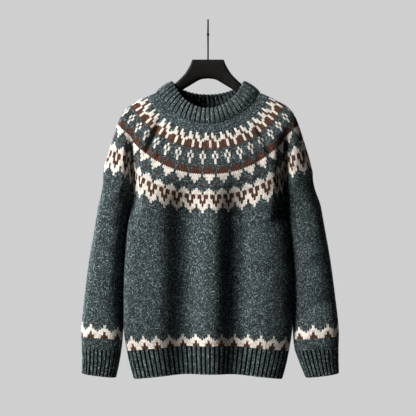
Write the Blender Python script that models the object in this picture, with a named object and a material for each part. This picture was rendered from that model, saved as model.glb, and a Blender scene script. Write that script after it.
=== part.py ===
"""Round-yoke fair isle jumper on a wide wooden clothes hanger.

Metres, +Z up. The front faces -Y, and +X is to the right of someone looking at the front.
The origin is the inside of the hook's crown, where the hook rests on whatever holds it up.
Every knitted piece is a wall through rings. A ring runs round the piece from the middle of
its front (a sleeve's from the underarm), seen from above anticlockwise.
"""

import math

import bmesh
import bpy
import numpy as np

KNIT_WALL = 0.003  # stockinette in wool
COLLAR_WALL = 0.008  # rib folded in half
SEAM_GAP = 0.0004
NECK_GAP = 0.0008  # the folded collar's edge is thick, so it sits a little further off

YOKE_COLUMNS_FRONT = 30
YOKE_COLUMNS_SLEEVE = 18
YOKE_COLUMNS = 2 * (YOKE_COLUMNS_FRONT + YOKE_COLUMNS_SLEEVE)
BODY_END_STEPS = 3
SLEEVE_END_STEPS = 5
BODY_COLUMNS = 2 * (YOKE_COLUMNS_FRONT - 1 + BODY_END_STEPS)
SLEEVE_COLUMNS = YOKE_COLUMNS_SLEEVE - 1 + SLEEVE_END_STEPS
COLLAR_COLUMNS = 48
DENSE_POINTS = 2400  # points on a plan curve before it is spaced evenly

# The yoke, from the neck seam (share 0) to its lower edge (share 1). Heights are at the middle
# of the front and back and at the side; crease is how far the fold at the underarm closes.
YOKE_NAMES = ("share", "front_z", "side_z", "back_z", "half_width", "front_y", "back_y", "crease")
YOKE_ROWS = (
    (0.00, -0.244, -0.169, -0.206, 0.122, 0.0555, 0.0455, 0.00),
    (0.18, -0.281, -0.188, -0.249, 0.164, 0.0590, 0.0490, 0.00),
    (0.35, -0.316, -0.206, -0.290, 0.191, 0.0620, 0.0520, 0.00),
    (0.47, -0.341, -0.224, -0.318, 0.204, 0.0640, 0.0530, 0.05),
    (0.69, -0.387, -0.272, -0.371, 0.2215, 0.0640, 0.0530, 0.55),
    (0.85, -0.420, -0.317, -0.409, 0.2355, 0.0620, 0.0520, 0.82),
    (1.00, -0.451, -0.354, -0.445, 0.2455, 0.0600, 0.0500, 0.90),
)
YOKE_RINGS = (0.0, 0.09, 0.18, 0.27, 0.36, 0.46, 0.58, 0.72, 0.86, 1.0)
YOKE_SQUARENESS = 2.5
YOKE_RISE = 2.3  # a lower ring's height climbs with this power of the way out to its side
NECK_BLEND = 0.5  # share of the yoke over which its rings stop following the neckline
CREASE_X = 0.176
CREASE_WIDTH = 0.014
LIFT = 0.040  # past a crease the sleeve's side of the yoke sits this much higher,
LIFT_START_X = 0.173
LIFT_SHARE = 0.2  # once this share of the way from there to the outer edge is passed
TUBE_GAP = 0.0008  # from the crease's plane to the body or a sleeve

# The body, from under the yoke (share 0) to the hem's rib (share 1).
BODY_NAMES = ("share", "half_width", "front_y", "back_y")
BODY_ROWS = (
    (0.00, 0.180, 0.0600, 0.0500),
    (0.12, 0.185, 0.0610, 0.0510),
    (0.34, 0.193, 0.0620, 0.0520),
    (0.64, 0.198, 0.0600, 0.0500),
    (0.83, 0.198, 0.0570, 0.0470),
    (0.92, 0.195, 0.0530, 0.0440),
    (1.00, 0.190, 0.0480, 0.0400),
)
BODY_RINGS = (0.0, 0.10, 0.22, 0.40, 0.58, 0.76, 0.90, 1.0)
BODY_SQUARENESS = 2.5
BODY_BLEND = 0.22  # share of the body over which it rounds out from the yoke's edge
HEM_SEAM_Z = -0.760
HEM_EDGE_Z = -0.826
HEM_SIDE_DROP = 0.013
HEM_NAMES = ("share", "half_width", "front_y", "back_y")
HEM_ROWS = (
    (0.0, 0.190, 0.0480, 0.0400),
    (0.5, 0.183, 0.0440, 0.0370),
    (1.0, 0.174, 0.0420, 0.0350),
)
HEM_RINGS = (0.0, 0.5, 1.0)

# The hanging folds: where each runs, the heights between which it deepens, and how deep and
# wide it is. It runs on down to the hem, where a share of its depth is left.
FOLD_NAMES = ("side", "top_x", "hem_x", "start_z", "full_z", "depth", "half_width", "hem_share")
FOLD_ROWS = (
    ("front", -0.076, -0.080, -0.350, -0.480, 0.026, 0.021, 0.55),
    ("front", 0.049, 0.050, -0.360, -0.500, 0.024, 0.017, 0.50),
    ("back", -0.062, -0.070, -0.390, -0.540, 0.019, 0.020, 0.45),
    ("back", 0.078, 0.086, -0.370, -0.500, 0.021, 0.022, 0.50),
)

# A sleeve, from the yoke (share 0) to its cuff (share 1). Its inner edge hangs just off the body.
SLEEVE_NAMES = ("share", "left_outer", "right_outer", "left_gap", "right_gap", "half_depth")
SLEEVE_ROWS = (
    (0.00, 0.246, 0.248, 0.0020, 0.0020, 0.0440),
    (0.13, 0.2545, 0.2605, 0.0024, 0.0024, 0.0450),
    (0.32, 0.267, 0.275, 0.0026, 0.0026, 0.0450),
    (0.50, 0.280, 0.288, 0.0028, 0.0028, 0.0440),
    (0.65, 0.288, 0.2965, 0.0030, 0.0030, 0.0430),
    (0.83, 0.2955, 0.305, 0.0032, 0.0032, 0.0415),
    (0.92, 0.297, 0.307, 0.0055, 0.0055, 0.0400),
    (1.00, 0.296, 0.306, 0.0135, 0.0140, 0.0370),
)
SLEEVE_RINGS = (0.0, 0.10, 0.22, 0.36, 0.50, 0.65, 0.80, 0.91, 1.0)
SLEEVE_SQUARENESS = 2.2
SLEEVE_BLEND = 0.20
SLEEVE_CENTRE_Y = 0.003
SLEEVE_INNER_Z = -0.413  # the underarm
CUFF_SEAM_OUTER_Z = -0.766
CUFF_SEAM_INNER_Z = -0.771
CUFF_EDGE_OUTER_Z = -0.826
CUFF_EDGE_INNER_Z = -0.836
CUFF_NAMES = ("share", "left_outer", "right_outer", "left_inner", "right_inner", "half_depth")
CUFF_ROWS = (
    (0.0, 0.296, 0.306, 0.2035, 0.2040, 0.0370),
    (0.5, 0.295, 0.306, 0.2090, 0.2160, 0.0330),
    (1.0, 0.296, 0.307, 0.2160, 0.2290, 0.0300),
)
CUFF_RINGS = (0.0, 0.5, 1.0)

# The collar's middle surface at its seam (share 0) and under its folded edge (share 1).
COLLAR_NAMES = ("share", "front_z", "side_z", "back_z", "half_width", "front_y", "back_y")
COLLAR_ROWS = (
    (0.0, -0.2435, -0.1695, -0.2055, 0.1210, 0.0540, 0.0440),
    (1.0, -0.2110, -0.1460, -0.1730, 0.0880, 0.0460, 0.0360),
)
COLLAR_SQUARENESS = 2.1
NECKLINE_LEVEL = 0.28  # share of the neck's depth where it lies level over the hanger's arms
NECKLINE_CURVE = 1.25
COLLAR_SWELL = 0.0015  # the band's outer face is a little rounded
COLLAR_SIDE_STEPS = 3
COLLAR_FOLD_STEPS = 4

# Half of the hanger, from its middle to the end of an arm.
HANGER_NAMES = ("x", "top", "bottom", "half_depth")
HANGER_ROWS = (
    (0.0000, -0.0907, -0.1350, 0.0075),
    (0.0180, -0.0907, -0.1378, 0.0076),
    (0.0370, -0.0907, -0.1484, 0.0080),
    (0.0400, -0.0990, -0.1502, 0.0081),
    (0.0463, -0.1112, -0.1540, 0.0085),
    (0.0545, -0.1240, -0.1588, 0.0092),
    (0.0655, -0.1360, -0.1665, 0.0105),
    (0.0765, -0.1460, -0.1740, 0.0108),
    (0.1000, -0.1645, -0.1880, 0.0120),
    (0.1230, -0.1805, -0.2000, 0.0135),
    (0.1500, -0.1925, -0.2095, 0.0150),
    (0.1660, -0.2005, -0.2145, 0.0140),
    (0.1730, -0.2055, -0.2140, 0.0100),
)
HANGER_SIDES = 14
HANGER_SQUARENESS = 3.4

HOOK_RADIUS = 0.0020
HOOK_CROWN = 0.0145  # inner radius, over a rail 25 mm thick
HOOK_STEM_STEPS = 5
HOOK_CROWN_STEPS = 14
HOOK_SIDES = 10
HOOK_BALL_RADIUS = 0.0034
HOOK_BALL_STEPS = 7
HOOK_TIP_DROP = 0.012  # how far the tip runs down behind the crown's centre

MATERIALS = {
    "wool": ((0.075, 0.100, 0.112), 0.95, 0.0),
    "wool_yoke": ((0.260, 0.170, 0.130), 0.95, 0.0),
    "wood": ((0.012, 0.009, 0.007), 0.35, 0.0),
    "wire": ((0.030, 0.030, 0.032), 0.40, 1.0),
}


def read_table(names, rows, at):
    """Each named column of a table at one place along its first column, joined smoothly."""
    table = np.array([row[-len(names):] for row in rows], dtype=float)
    keys = table[:, 0]
    steps = np.diff(keys)
    slopes = np.diff(table, axis=0) / steps[:, None]
    tangents = np.vstack([slopes[:1], 0.5 * (slopes[:-1] + slopes[1:]), slopes[-1:]])
    turns = slopes[:-1] * slopes[1:] <= 0.0
    tangents[1:-1][turns] = 0.0
    i = int(np.clip(np.searchsorted(keys, at, side="right") - 1, 0, len(steps) - 1))
    t = (at - keys[i]) / steps[i]
    value = (
        (2 * t**3 - 3 * t**2 + 1) * table[i]
        + (t**3 - 2 * t**2 + t) * steps[i] * tangents[i]
        + (3 * t**2 - 2 * t**3) * table[i + 1]
        + (t**3 - t**2) * steps[i] * tangents[i + 1]
    )
    return dict(zip(names, value))


def smooth_step(x):
    x = np.clip(x, 0.0, 1.0)
    return x * x * (3.0 - 2.0 * x)


def plan_curve(half_width, front_y, back_y, squareness):
    """A closed plan seen from above: x and y, from the middle of the front towards +X."""
    turn = np.linspace(0.0, 2 * math.pi, DENSE_POINTS, endpoint=False)
    across, along = np.sin(turn), np.cos(turn)
    x = half_width * np.sign(across) * np.abs(across) ** (2 / squareness)
    depth = np.where(along > 0.0, front_y, back_y)
    y = -depth * np.sign(along) * np.abs(along) ** (2 / squareness)
    return x, y


def spaced(curve, shares):
    """Points at these shares of a closed curve's length."""
    closed = np.vstack([curve, curve[:1]])
    lengths = np.concatenate([[0.0], np.cumsum(np.linalg.norm(np.diff(closed, axis=0), axis=1))])
    at = np.asarray(shares) * lengths[-1]
    return np.column_stack([np.interp(at, lengths, closed[:, i]) for i in range(3)])


def with_folds(x, y, z):
    """The hanging folds press the front and the back of the cloth inwards."""
    y = y.copy()
    for row in FOLD_ROWS:
        fold = dict(zip(FOLD_NAMES, row))
        facing = -1.0 if fold["side"] == "front" else 1.0
        down = smooth_step((fold["start_z"] - z) / (fold["start_z"] - fold["full_z"]))
        run = np.clip((fold["start_z"] - z) / (fold["start_z"] - HEM_EDGE_Z), 0.0, 1.0)
        held = smooth_step((z - HEM_EDGE_Z) / (HEM_SEAM_Z + 0.08 - HEM_EDGE_Z))
        depth = fold["depth"] * down * (fold["hem_share"] + (1.0 - fold["hem_share"]) * held)
        middle = fold["top_x"] + (fold["hem_x"] - fold["top_x"]) * run
        press = depth * np.exp(-(((x - middle) / fold["half_width"]) ** 2))
        y -= np.where(y * facing > 0.0, facing * press, 0.0)
    return y


def neckline_dip(row, y):
    """How far a neckline has dipped from its side (0) to the middle of the front or back (1)."""
    depth = np.abs(y) / np.where(y < 0.0, row["front_y"], row["back_y"])
    return np.clip((depth - NECKLINE_LEVEL) / (1.0 - NECKLINE_LEVEL), 0.0, 1.0) ** NECKLINE_CURVE


def yoke_curve(share):
    """The yoke's ring at a share of its depth, as a dense closed curve."""
    row = read_table(YOKE_NAMES, YOKE_ROWS, share)
    free = smooth_step(share / NECK_BLEND)
    squareness = COLLAR_SQUARENESS + (YOKE_SQUARENESS - COLLAR_SQUARENESS) * free
    x, y = plan_curve(row["half_width"], row["front_y"], row["back_y"], squareness)
    rise = free * (np.abs(x) / row["half_width"]) ** YOKE_RISE
    rise += (1.0 - free) * (1.0 - neckline_dip(row, y))
    middle_z = np.where(y < 0.0, row["front_z"], row["back_z"])
    z = middle_z + (row["side_z"] - middle_z) * rise
    beyond = (np.abs(x) - LIFT_START_X) / (row["half_width"] - LIFT_START_X)
    z += LIFT * row["crease"] * smooth_step(beyond / LIFT_SHARE) * np.clip(1.0 - beyond, 0.0, 1.0)
    closing = row["crease"] * np.exp(-(((np.abs(x) - CREASE_X) / CREASE_WIDTH) ** 2))
    return np.column_stack([x, with_folds(x, y * (1.0 - closing), z), z])


def crease_shares(curve):
    """The shares of a ring's length at which it passes the two creases, anticlockwise."""
    closed = np.vstack([curve, curve[:1]])
    lengths = np.concatenate([[0.0], np.cumsum(np.linalg.norm(np.diff(closed, axis=0), axis=1))])
    outside = np.abs(curve[:, 0]) > CREASE_X
    passing = np.where(outside != np.roll(outside, 1))[0]
    return lengths[passing] / lengths[-1]


def yoke_rings():
    """The yoke's outer points. Its columns turn so that the lower edge has one on each crease."""
    marks = [0, YOKE_COLUMNS_FRONT // 2]
    for columns in (YOKE_COLUMNS_SLEEVE, YOKE_COLUMNS_FRONT, YOKE_COLUMNS_SLEEVE):
        marks.append(marks[-1] + columns)
    marks.append(YOKE_COLUMNS)
    columns = np.arange(YOKE_COLUMNS)
    even = columns / YOKE_COLUMNS
    creased = np.interp(columns, marks, [0.0, *crease_shares(yoke_curve(1.0)), 1.0])
    rings = []
    for share in YOKE_RINGS:
        turned = smooth_step(share)
        rings.append(spaced(yoke_curve(share), even + (creased - even) * turned))
    return np.array(rings)


def tube_end(from_point, to_point, out_x, low_z, steps):
    """A rounded end from one point of a plan to another, reaching out_x halfway."""
    turn = np.linspace(0.0, math.pi, steps + 2)[1:-1]
    x = from_point[0] + (out_x - from_point[0]) * np.sin(turn)
    y = from_point[1] + (to_point[1] - from_point[1]) * (0.5 - 0.5 * np.cos(turn))
    return np.column_stack([x, y, np.full(steps, low_z)])


def body_top(edge, wall=0.0):
    """The ring under the yoke's edge: its front and back, closed round at the underarms.
    With wall, edge is the inner side of the yoke's edge, and the ends keep that much further in.
    """
    half_front = YOKE_COLUMNS_FRONT // 2
    back_start = half_front + YOKE_COLUMNS_SLEEVE
    front = np.roll(edge, half_front - 1, axis=0)[: YOKE_COLUMNS_FRONT - 1]
    back = edge[back_start + 1 : back_start + YOKE_COLUMNS_FRONT]
    low_z = min(front[-1][2], back[0][2])
    reach = CREASE_X - TUBE_GAP - wall
    right = tube_end(front[-1], back[0], reach, low_z, BODY_END_STEPS)
    left = tube_end(back[-1], front[0], -reach, low_z, BODY_END_STEPS)
    ring = np.vstack([front[half_front - 1 :], right, back, left, front[: half_front - 1]])
    ring[:, 2] -= SEAM_GAP
    return ring


def sleeve_top(edge, wall=0.0):
    """The same for the sleeve at +X, from its underarm round by the front."""
    half_front = YOKE_COLUMNS_FRONT // 2
    outer = edge[half_front + 1 : half_front + YOKE_COLUMNS_SLEEVE]
    low_z = edge[[half_front, half_front + YOKE_COLUMNS_SLEEVE], 2].min()
    reach = CREASE_X + TUBE_GAP + wall
    inner = tube_end(outer[-1], outer[0], reach, low_z, SLEEVE_END_STEPS)
    middle = SLEEVE_END_STEPS // 2
    ring = np.vstack([inner[middle:], outer, inner[:middle]])
    ring[:, 2] -= SEAM_GAP
    return ring


def height_at(out, middle_z, side_z, power=2.0):
    return middle_z + (side_z - middle_z) * np.abs(out) ** power


def body_rings(edge):
    even = np.arange(BODY_COLUMNS) / BODY_COLUMNS
    top = body_top(edge)
    rings = []
    for share in BODY_RINGS:
        row = read_table(BODY_NAMES, BODY_ROWS, share)
        x, y = plan_curve(row["half_width"], row["front_y"], row["back_y"], BODY_SQUARENESS)
        flat = spaced(np.column_stack([x, y, np.zeros_like(x)]), even)
        seam_z = height_at(flat[:, 0] / row["half_width"], HEM_SEAM_Z, HEM_SEAM_Z - HEM_SIDE_DROP)
        z = top[:, 2] + (seam_z - top[:, 2]) * share
        folded = np.column_stack([flat[:, 0], with_folds(flat[:, 0], flat[:, 1], z), z])
        rounded = smooth_step(share / BODY_BLEND)
        ring = top + (folded - top) * rounded
        ring[:, 2] = z
        rings.append(ring)
    return np.array(rings)


def hem_rings():
    even = np.arange(BODY_COLUMNS) / BODY_COLUMNS
    rings = []
    for share in HEM_RINGS:
        row = read_table(HEM_NAMES, HEM_ROWS, share)
        x, y = plan_curve(row["half_width"], row["front_y"], row["back_y"], BODY_SQUARENESS)
        flat = spaced(np.column_stack([x, y, np.zeros_like(x)]), even)
        out = flat[:, 0] / row["half_width"]
        top_z = height_at(out, HEM_SEAM_Z, HEM_SEAM_Z - HEM_SIDE_DROP) - SEAM_GAP
        edge_z = height_at(out, HEM_EDGE_Z, HEM_EDGE_Z - HEM_SIDE_DROP)
        z = top_z + (edge_z - top_z) * share
        rings.append(np.column_stack([flat[:, 0], with_folds(flat[:, 0], flat[:, 1], z), z]))
    return np.array(rings)


def tube_plan(inner_x, outer_x, half_depth):
    """A sleeve's plan on the +X side, from its inner edge round by the front."""
    across, depth = 0.5 * (outer_x - inner_x), half_depth
    x, y = plan_curve(across, depth, depth, SLEEVE_SQUARENESS)
    start = 3 * DENSE_POINTS // 4
    plan = np.column_stack([x + inner_x + across, y + SLEEVE_CENTRE_Y, np.zeros_like(x)])
    return spaced(np.roll(plan, -start, axis=0), np.arange(SLEEVE_COLUMNS) / SLEEVE_COLUMNS)


def sloped(points, inner_x, outer_x, inner_z, outer_z):
    share = np.clip((points[:, 0] - inner_x) / (outer_x - inner_x), 0.0, 1.0)
    return inner_z + (outer_z - inner_z) * share


def sleeve_rings(name, edge):
    """One sleeve's rings on the +X side. mirror_x puts the left one in its place."""
    top = sleeve_top(edge)
    rings = []
    for share in SLEEVE_RINGS:
        row = read_table(SLEEVE_NAMES, SLEEVE_ROWS, share)
        beside = read_table(BODY_NAMES, BODY_ROWS, share)["half_width"]
        inner_x, outer_x = beside + row[name + "_gap"], row[name + "_outer"]
        ring = tube_plan(inner_x, outer_x, row["half_depth"])
        seam_z = sloped(ring, inner_x, outer_x, CUFF_SEAM_INNER_Z, CUFF_SEAM_OUTER_Z)
        ring = top + (ring - top) * smooth_step(share / SLEEVE_BLEND)
        ring[:, 2] = top[:, 2] + (seam_z - top[:, 2]) * share
        rings.append(ring)
    return np.array(rings)


def cuff_rings(name):
    rings = []
    for share in CUFF_RINGS:
        row = read_table(CUFF_NAMES, CUFF_ROWS, share)
        inner_x, outer_x = row[name + "_inner"], row[name + "_outer"]
        ring = tube_plan(inner_x, outer_x, row["half_depth"])
        top_z = sloped(ring, inner_x, outer_x, CUFF_SEAM_INNER_Z, CUFF_SEAM_OUTER_Z) - SEAM_GAP
        edge_z = sloped(ring, inner_x, outer_x, CUFF_EDGE_INNER_Z, CUFF_EDGE_OUTER_Z)
        ring[:, 2] = top_z + (edge_z - top_z) * share
        rings.append(ring)
    return np.array(rings)


def mirror_x(rings):
    """The same ring or rings on the other side, still anticlockwise from the same column."""
    mirrored = rings * np.array([-1.0, 1.0, 1.0])
    return np.roll(mirrored[..., ::-1, :], 1, axis=-2)


def outward(rings, level_rings):
    """Unit normals of a tube's rings. On level_rings they lie flat, so that its edge is level."""
    around = np.roll(rings, -1, axis=1) - np.roll(rings, 1, axis=1)
    down = np.gradient(rings, axis=0)
    normals = np.cross(down, around)
    normals[level_rings, :, 2] = 0.0
    return normals / np.linalg.norm(normals, axis=2, keepdims=True)


def closed_loop_mesh(name, loops):
    """A ring-shaped solid from loops that follow each other round its cross-section."""
    count, columns = len(loops), len(loops[0])
    faces = []
    for i in range(count):
        j = (i + 1) % count
        for a in range(columns):
            b = (a + 1) % columns
            faces.append((i * columns + a, i * columns + b, j * columns + b, j * columns + a))
    return outward_mesh(name, np.concatenate(loops), faces)


def outward_mesh(name, points, faces):
    mesh = bpy.data.meshes.new(name)
    mesh.from_pydata([tuple(p) for p in points], [], faces)
    shape = bmesh.new()
    shape.from_mesh(mesh)
    bmesh.ops.recalc_face_normals(shape, faces=shape.faces)
    bmesh.ops.triangulate(shape, faces=shape.faces)
    shape.to_mesh(mesh)
    shape.free()
    return mesh


def inner_rings(rings, level_rings=slice(None)):
    return rings - outward(rings, level_rings) * KNIT_WALL


def knitted_tube(name, rings, inner):
    """A knitted piece: the wall between its outer and its inner rings."""
    return closed_loop_mesh(name, list(rings) + list(inner[::-1]))


def collar_ring(share):
    row = read_table(COLLAR_NAMES, COLLAR_ROWS, share)
    x, y = plan_curve(row["half_width"], row["front_y"], row["back_y"], COLLAR_SQUARENESS)
    middle_z = np.where(y < 0.0, row["front_z"], row["back_z"])
    z = row["side_z"] + (middle_z - row["side_z"]) * neckline_dip(row, y)
    return spaced(np.column_stack([x, y, z]), np.arange(COLLAR_COLUMNS) / COLLAR_COLUMNS)


def collar_mesh():
    """The folded rib: up its outer face, over the fold and down its inner face."""
    seam, edge = collar_ring(0.0), collar_ring(1.0)
    up = edge - seam
    length = np.linalg.norm(up, axis=1, keepdims=True)
    up = up / length
    around = np.roll(seam, -1, axis=0) - np.roll(seam, 1, axis=0)
    out = np.cross(around, up)
    out = out / np.linalg.norm(out, axis=1, keepdims=True)
    half = COLLAR_WALL / 2
    loops = []
    for step in range(COLLAR_SIDE_STEPS):
        share = step / COLLAR_SIDE_STEPS
        swell = COLLAR_SWELL * math.sin(math.pi * share)
        loops.append(seam + up * (NECK_GAP + (length - NECK_GAP) * share) + out * (half + swell))
    for step in range(COLLAR_FOLD_STEPS + 1):
        turn = math.pi * step / COLLAR_FOLD_STEPS
        loops.append(edge + out * (half * math.cos(turn)) + up * (half * math.sin(turn)))
    for step in reversed(range(COLLAR_SIDE_STEPS)):
        share = step / COLLAR_SIDE_STEPS
        loops.append(seam + up * (NECK_GAP + (length - NECK_GAP) * share) - out * half)
    return closed_loop_mesh("collar", loops)


def capped_mesh(name, loops):
    """A solid through loops of equal counts, closed by a flat face at each end."""
    columns = len(loops[0])
    faces = [tuple(range(columns)), tuple(range(len(loops) * columns - columns, len(loops) * columns))]
    for i in range(len(loops) - 1):
        for a in range(columns):
            b = (a + 1) % columns
            low, high = i * columns, (i + 1) * columns
            faces.append((low + a, low + b, high + b, high + a))
    return outward_mesh(name, np.concatenate(loops), faces)


def hanger_mesh():
    """Sections across the hanger, from the end of one arm to the end of the other."""
    turn = np.linspace(0.0, 2 * math.pi, HANGER_SIDES, endpoint=False) + math.pi / HANGER_SIDES
    across = np.sign(np.cos(turn)) * np.abs(np.cos(turn)) ** (2 / HANGER_SQUARENESS)
    along = np.sign(np.sin(turn)) * np.abs(np.sin(turn)) ** (2 / HANGER_SQUARENESS)
    across, along = across / across.max(), along / along.max()
    halves = [dict(zip(HANGER_NAMES, row)) for row in HANGER_ROWS]
    sections = [dict(row, x=-row["x"]) for row in reversed(halves[1:])] + halves
    loops = []
    for row in sections:
        middle, half_height = (row["top"] + row["bottom"]) / 2, (row["top"] - row["bottom"]) / 2
        x = np.full(HANGER_SIDES, row["x"])
        loops.append(np.column_stack([x, across * row["half_depth"], middle + along * half_height]))
    return capped_mesh("hanger", loops)


def hook_path():
    """The wire's centre line and radius: up the stem, over the crown and down to a ball."""
    crown = HOOK_CROWN + HOOK_RADIUS
    centre_z = -HOOK_CROWN
    foot_z = HANGER_ROWS[0][1] + SEAM_GAP
    bend_z = centre_z - 2.2 * crown
    points = [(0.0, foot_z), (0.0, bend_z)]
    for step in range(1, HOOK_STEM_STEPS + 1):
        share = step / (HOOK_STEM_STEPS + 1)
        points.append((-crown * smooth_step(share), bend_z + (centre_z - bend_z) * share))
    for step in range(HOOK_CROWN_STEPS + 1):
        turn = math.pi * (1.0 - step / HOOK_CROWN_STEPS)
        points.append((crown * math.cos(turn), centre_z + crown * math.sin(turn)))
    points.append((crown, centre_z - HOOK_TIP_DROP))
    radii = [HOOK_RADIUS] * len(points)
    ball_z = centre_z - HOOK_TIP_DROP - HOOK_BALL_RADIUS
    start = math.asin(HOOK_RADIUS / HOOK_BALL_RADIUS)
    for step in range(1, HOOK_BALL_STEPS + 1):
        turn = start + (0.94 * math.pi - start) * step / HOOK_BALL_STEPS
        points.append((crown, ball_z + HOOK_BALL_RADIUS * math.cos(turn)))
        radii.append(HOOK_BALL_RADIUS * math.sin(turn))
    return np.array(points), radii


def hook_mesh():
    """The wire bends only in the plane x = 0, so each section's sides are +X and its normal."""
    path, radii = hook_path()
    ahead = np.gradient(path, axis=0)
    ahead /= np.linalg.norm(ahead, axis=1, keepdims=True)
    turn = np.linspace(0.0, 2 * math.pi, HOOK_SIDES, endpoint=False)
    loops = []
    for (y, z), (dy, dz), radius in zip(path, ahead, radii):
        x = radius * np.cos(turn)
        side = radius * np.sin(turn)
        loops.append(np.column_stack([x, y - dz * side, z + dy * side]))
    return capped_mesh("hook", loops)


def make_material(name):
    color, roughness, metallic = MATERIALS[name]
    material = bpy.data.materials.new(name)
    material.use_nodes = True
    shader = material.node_tree.nodes["Principled BSDF"]
    shader.inputs["Base Color"].default_value = (*color, 1.0)
    shader.inputs["Roughness"].default_value = roughness
    shader.inputs["Metallic"].default_value = metallic
    return material


def add_object(name, mesh, kind):
    mesh.materials.append(make_material(kind))
    mesh.materials[0].name = name
    mesh.shade_smooth()
    mesh.set_sharp_from_angle(angle=math.radians(50))
    obj = bpy.data.objects.new(name, mesh)
    bpy.context.scene.collection.objects.link(obj)


def main():
    for obj in list(bpy.data.objects):
        bpy.data.objects.remove(obj)
    add_object("collar", collar_mesh(), "wool")
    yoke = yoke_rings()
    yoke_inner = inner_rings(yoke, level_rings=[-1])
    body = body_rings(yoke[-1])
    body_inner = inner_rings(body)
    body_inner[0] = body_top(yoke_inner[-1], KNIT_WALL)
    hem = hem_rings()
    add_object("yoke", knitted_tube("yoke", yoke, yoke_inner), "wool_yoke")
    add_object("body", knitted_tube("body", body, body_inner), "wool")
    add_object("hem_rib", knitted_tube("hem_rib", hem, inner_rings(hem)), "wool")
    for name in ("left", "right"):
        placed = mirror_x if name == "left" else np.array
        sleeve = sleeve_rings(name, placed(yoke[-1]))
        sleeve_inner = inner_rings(sleeve)
        sleeve_inner[0] = sleeve_top(placed(yoke_inner[-1]), KNIT_WALL)
        cuff = cuff_rings(name)
        tubes = {"sleeve_": (sleeve, sleeve_inner), "cuff_": (cuff, inner_rings(cuff))}
        for kind, (outer, inner) in tubes.items():
            mesh = knitted_tube(kind + name, placed(outer), placed(inner))
            add_object(kind + name, mesh, "wool")
    add_object("hanger", hanger_mesh(), "wood")
    add_object("hook", hook_mesh(), "wire")


main()
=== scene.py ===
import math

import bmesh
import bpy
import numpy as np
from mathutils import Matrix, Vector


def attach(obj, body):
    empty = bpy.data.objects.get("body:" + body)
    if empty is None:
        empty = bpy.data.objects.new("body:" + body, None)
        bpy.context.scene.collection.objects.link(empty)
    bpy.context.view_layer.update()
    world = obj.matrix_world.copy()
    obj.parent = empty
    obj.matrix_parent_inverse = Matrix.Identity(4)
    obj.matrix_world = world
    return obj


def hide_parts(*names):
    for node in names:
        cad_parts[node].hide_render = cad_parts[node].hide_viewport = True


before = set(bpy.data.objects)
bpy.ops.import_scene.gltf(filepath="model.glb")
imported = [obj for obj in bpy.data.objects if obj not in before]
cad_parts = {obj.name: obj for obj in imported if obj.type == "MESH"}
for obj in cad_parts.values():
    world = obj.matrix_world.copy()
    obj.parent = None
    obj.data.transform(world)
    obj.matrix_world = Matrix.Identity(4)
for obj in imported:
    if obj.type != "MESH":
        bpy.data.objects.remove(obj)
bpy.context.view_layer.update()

# The looks of a round-yoke fair isle jumper on a wooden hanger. Metres, +Z up, front at -Y.
# Each knitted piece is a lattice of stitches laid on its own cloth, and the stitch tree below
# raises the two legs of every stitch. A ring runs round a piece from the middle of its front
# (a sleeve's from the underarm), seen from above anticlockwise, and rings follow each other down.

BODY = "root"

# ---------------------------------------------------------------- the garment's own sizes

KNIT_WALL = 0.003
RIB_WALL = 0.0052
COLLAR_HALF_WALL = 0.0040
SEAM_GAP = 0.0001
NECK_GAP = 0.0002

YOKE_COLUMNS_FRONT = 300
YOKE_COLUMNS_SLEEVE = 180
YOKE_COLUMNS = 2 * (YOKE_COLUMNS_FRONT + YOKE_COLUMNS_SLEEVE)
BODY_END_STEPS = 31
SLEEVE_END_STEPS = 51
BODY_COLUMNS = 2 * (YOKE_COLUMNS_FRONT - 1 + BODY_END_STEPS)
SLEEVE_COLUMNS = YOKE_COLUMNS_SLEEVE - 1 + SLEEVE_END_STEPS
COLLAR_COLUMNS = 480
DENSE_POINTS = 4800  # points on a plan curve before it is spaced evenly
DENSE_RINGS = 121

YOKE_NAMES = ("share", "front_z", "side_z", "back_z", "half_width", "front_y", "back_y", "crease")
YOKE_ROWS = (
    (0.00, -0.244, -0.169, -0.206, 0.122, 0.0555, 0.0455, 0.00),
    (0.18, -0.281, -0.188, -0.249, 0.164, 0.0590, 0.0490, 0.00),
    (0.35, -0.316, -0.206, -0.290, 0.191, 0.0620, 0.0520, 0.00),
    (0.47, -0.341, -0.224, -0.318, 0.204, 0.0640, 0.0530, 0.05),
    (0.69, -0.387, -0.272, -0.371, 0.2215, 0.0640, 0.0530, 0.55),
    (0.85, -0.420, -0.317, -0.409, 0.2355, 0.0620, 0.0520, 0.82),
    (1.00, -0.451, -0.354, -0.445, 0.2455, 0.0600, 0.0500, 0.90),
)
YOKE_SQUARENESS = 2.5
YOKE_RISE = 2.3  # a lower ring's height climbs with this power of the way out to its side
NECK_BLEND = 0.5  # share of the yoke over which its rings stop following the neckline
CREASE_X = 0.176
CREASE_WIDTH = 0.014
LIFT = 0.040  # over a sleeve the yoke's edge is raised by up to this much,
LIFT_START_X = 0.173  # from here out,
LIFT_SHARE = 0.2  # fully once this share of the way to its side is passed
TUBE_GAP = 0.0008  # from the crease's plane to the body or a sleeve

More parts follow.
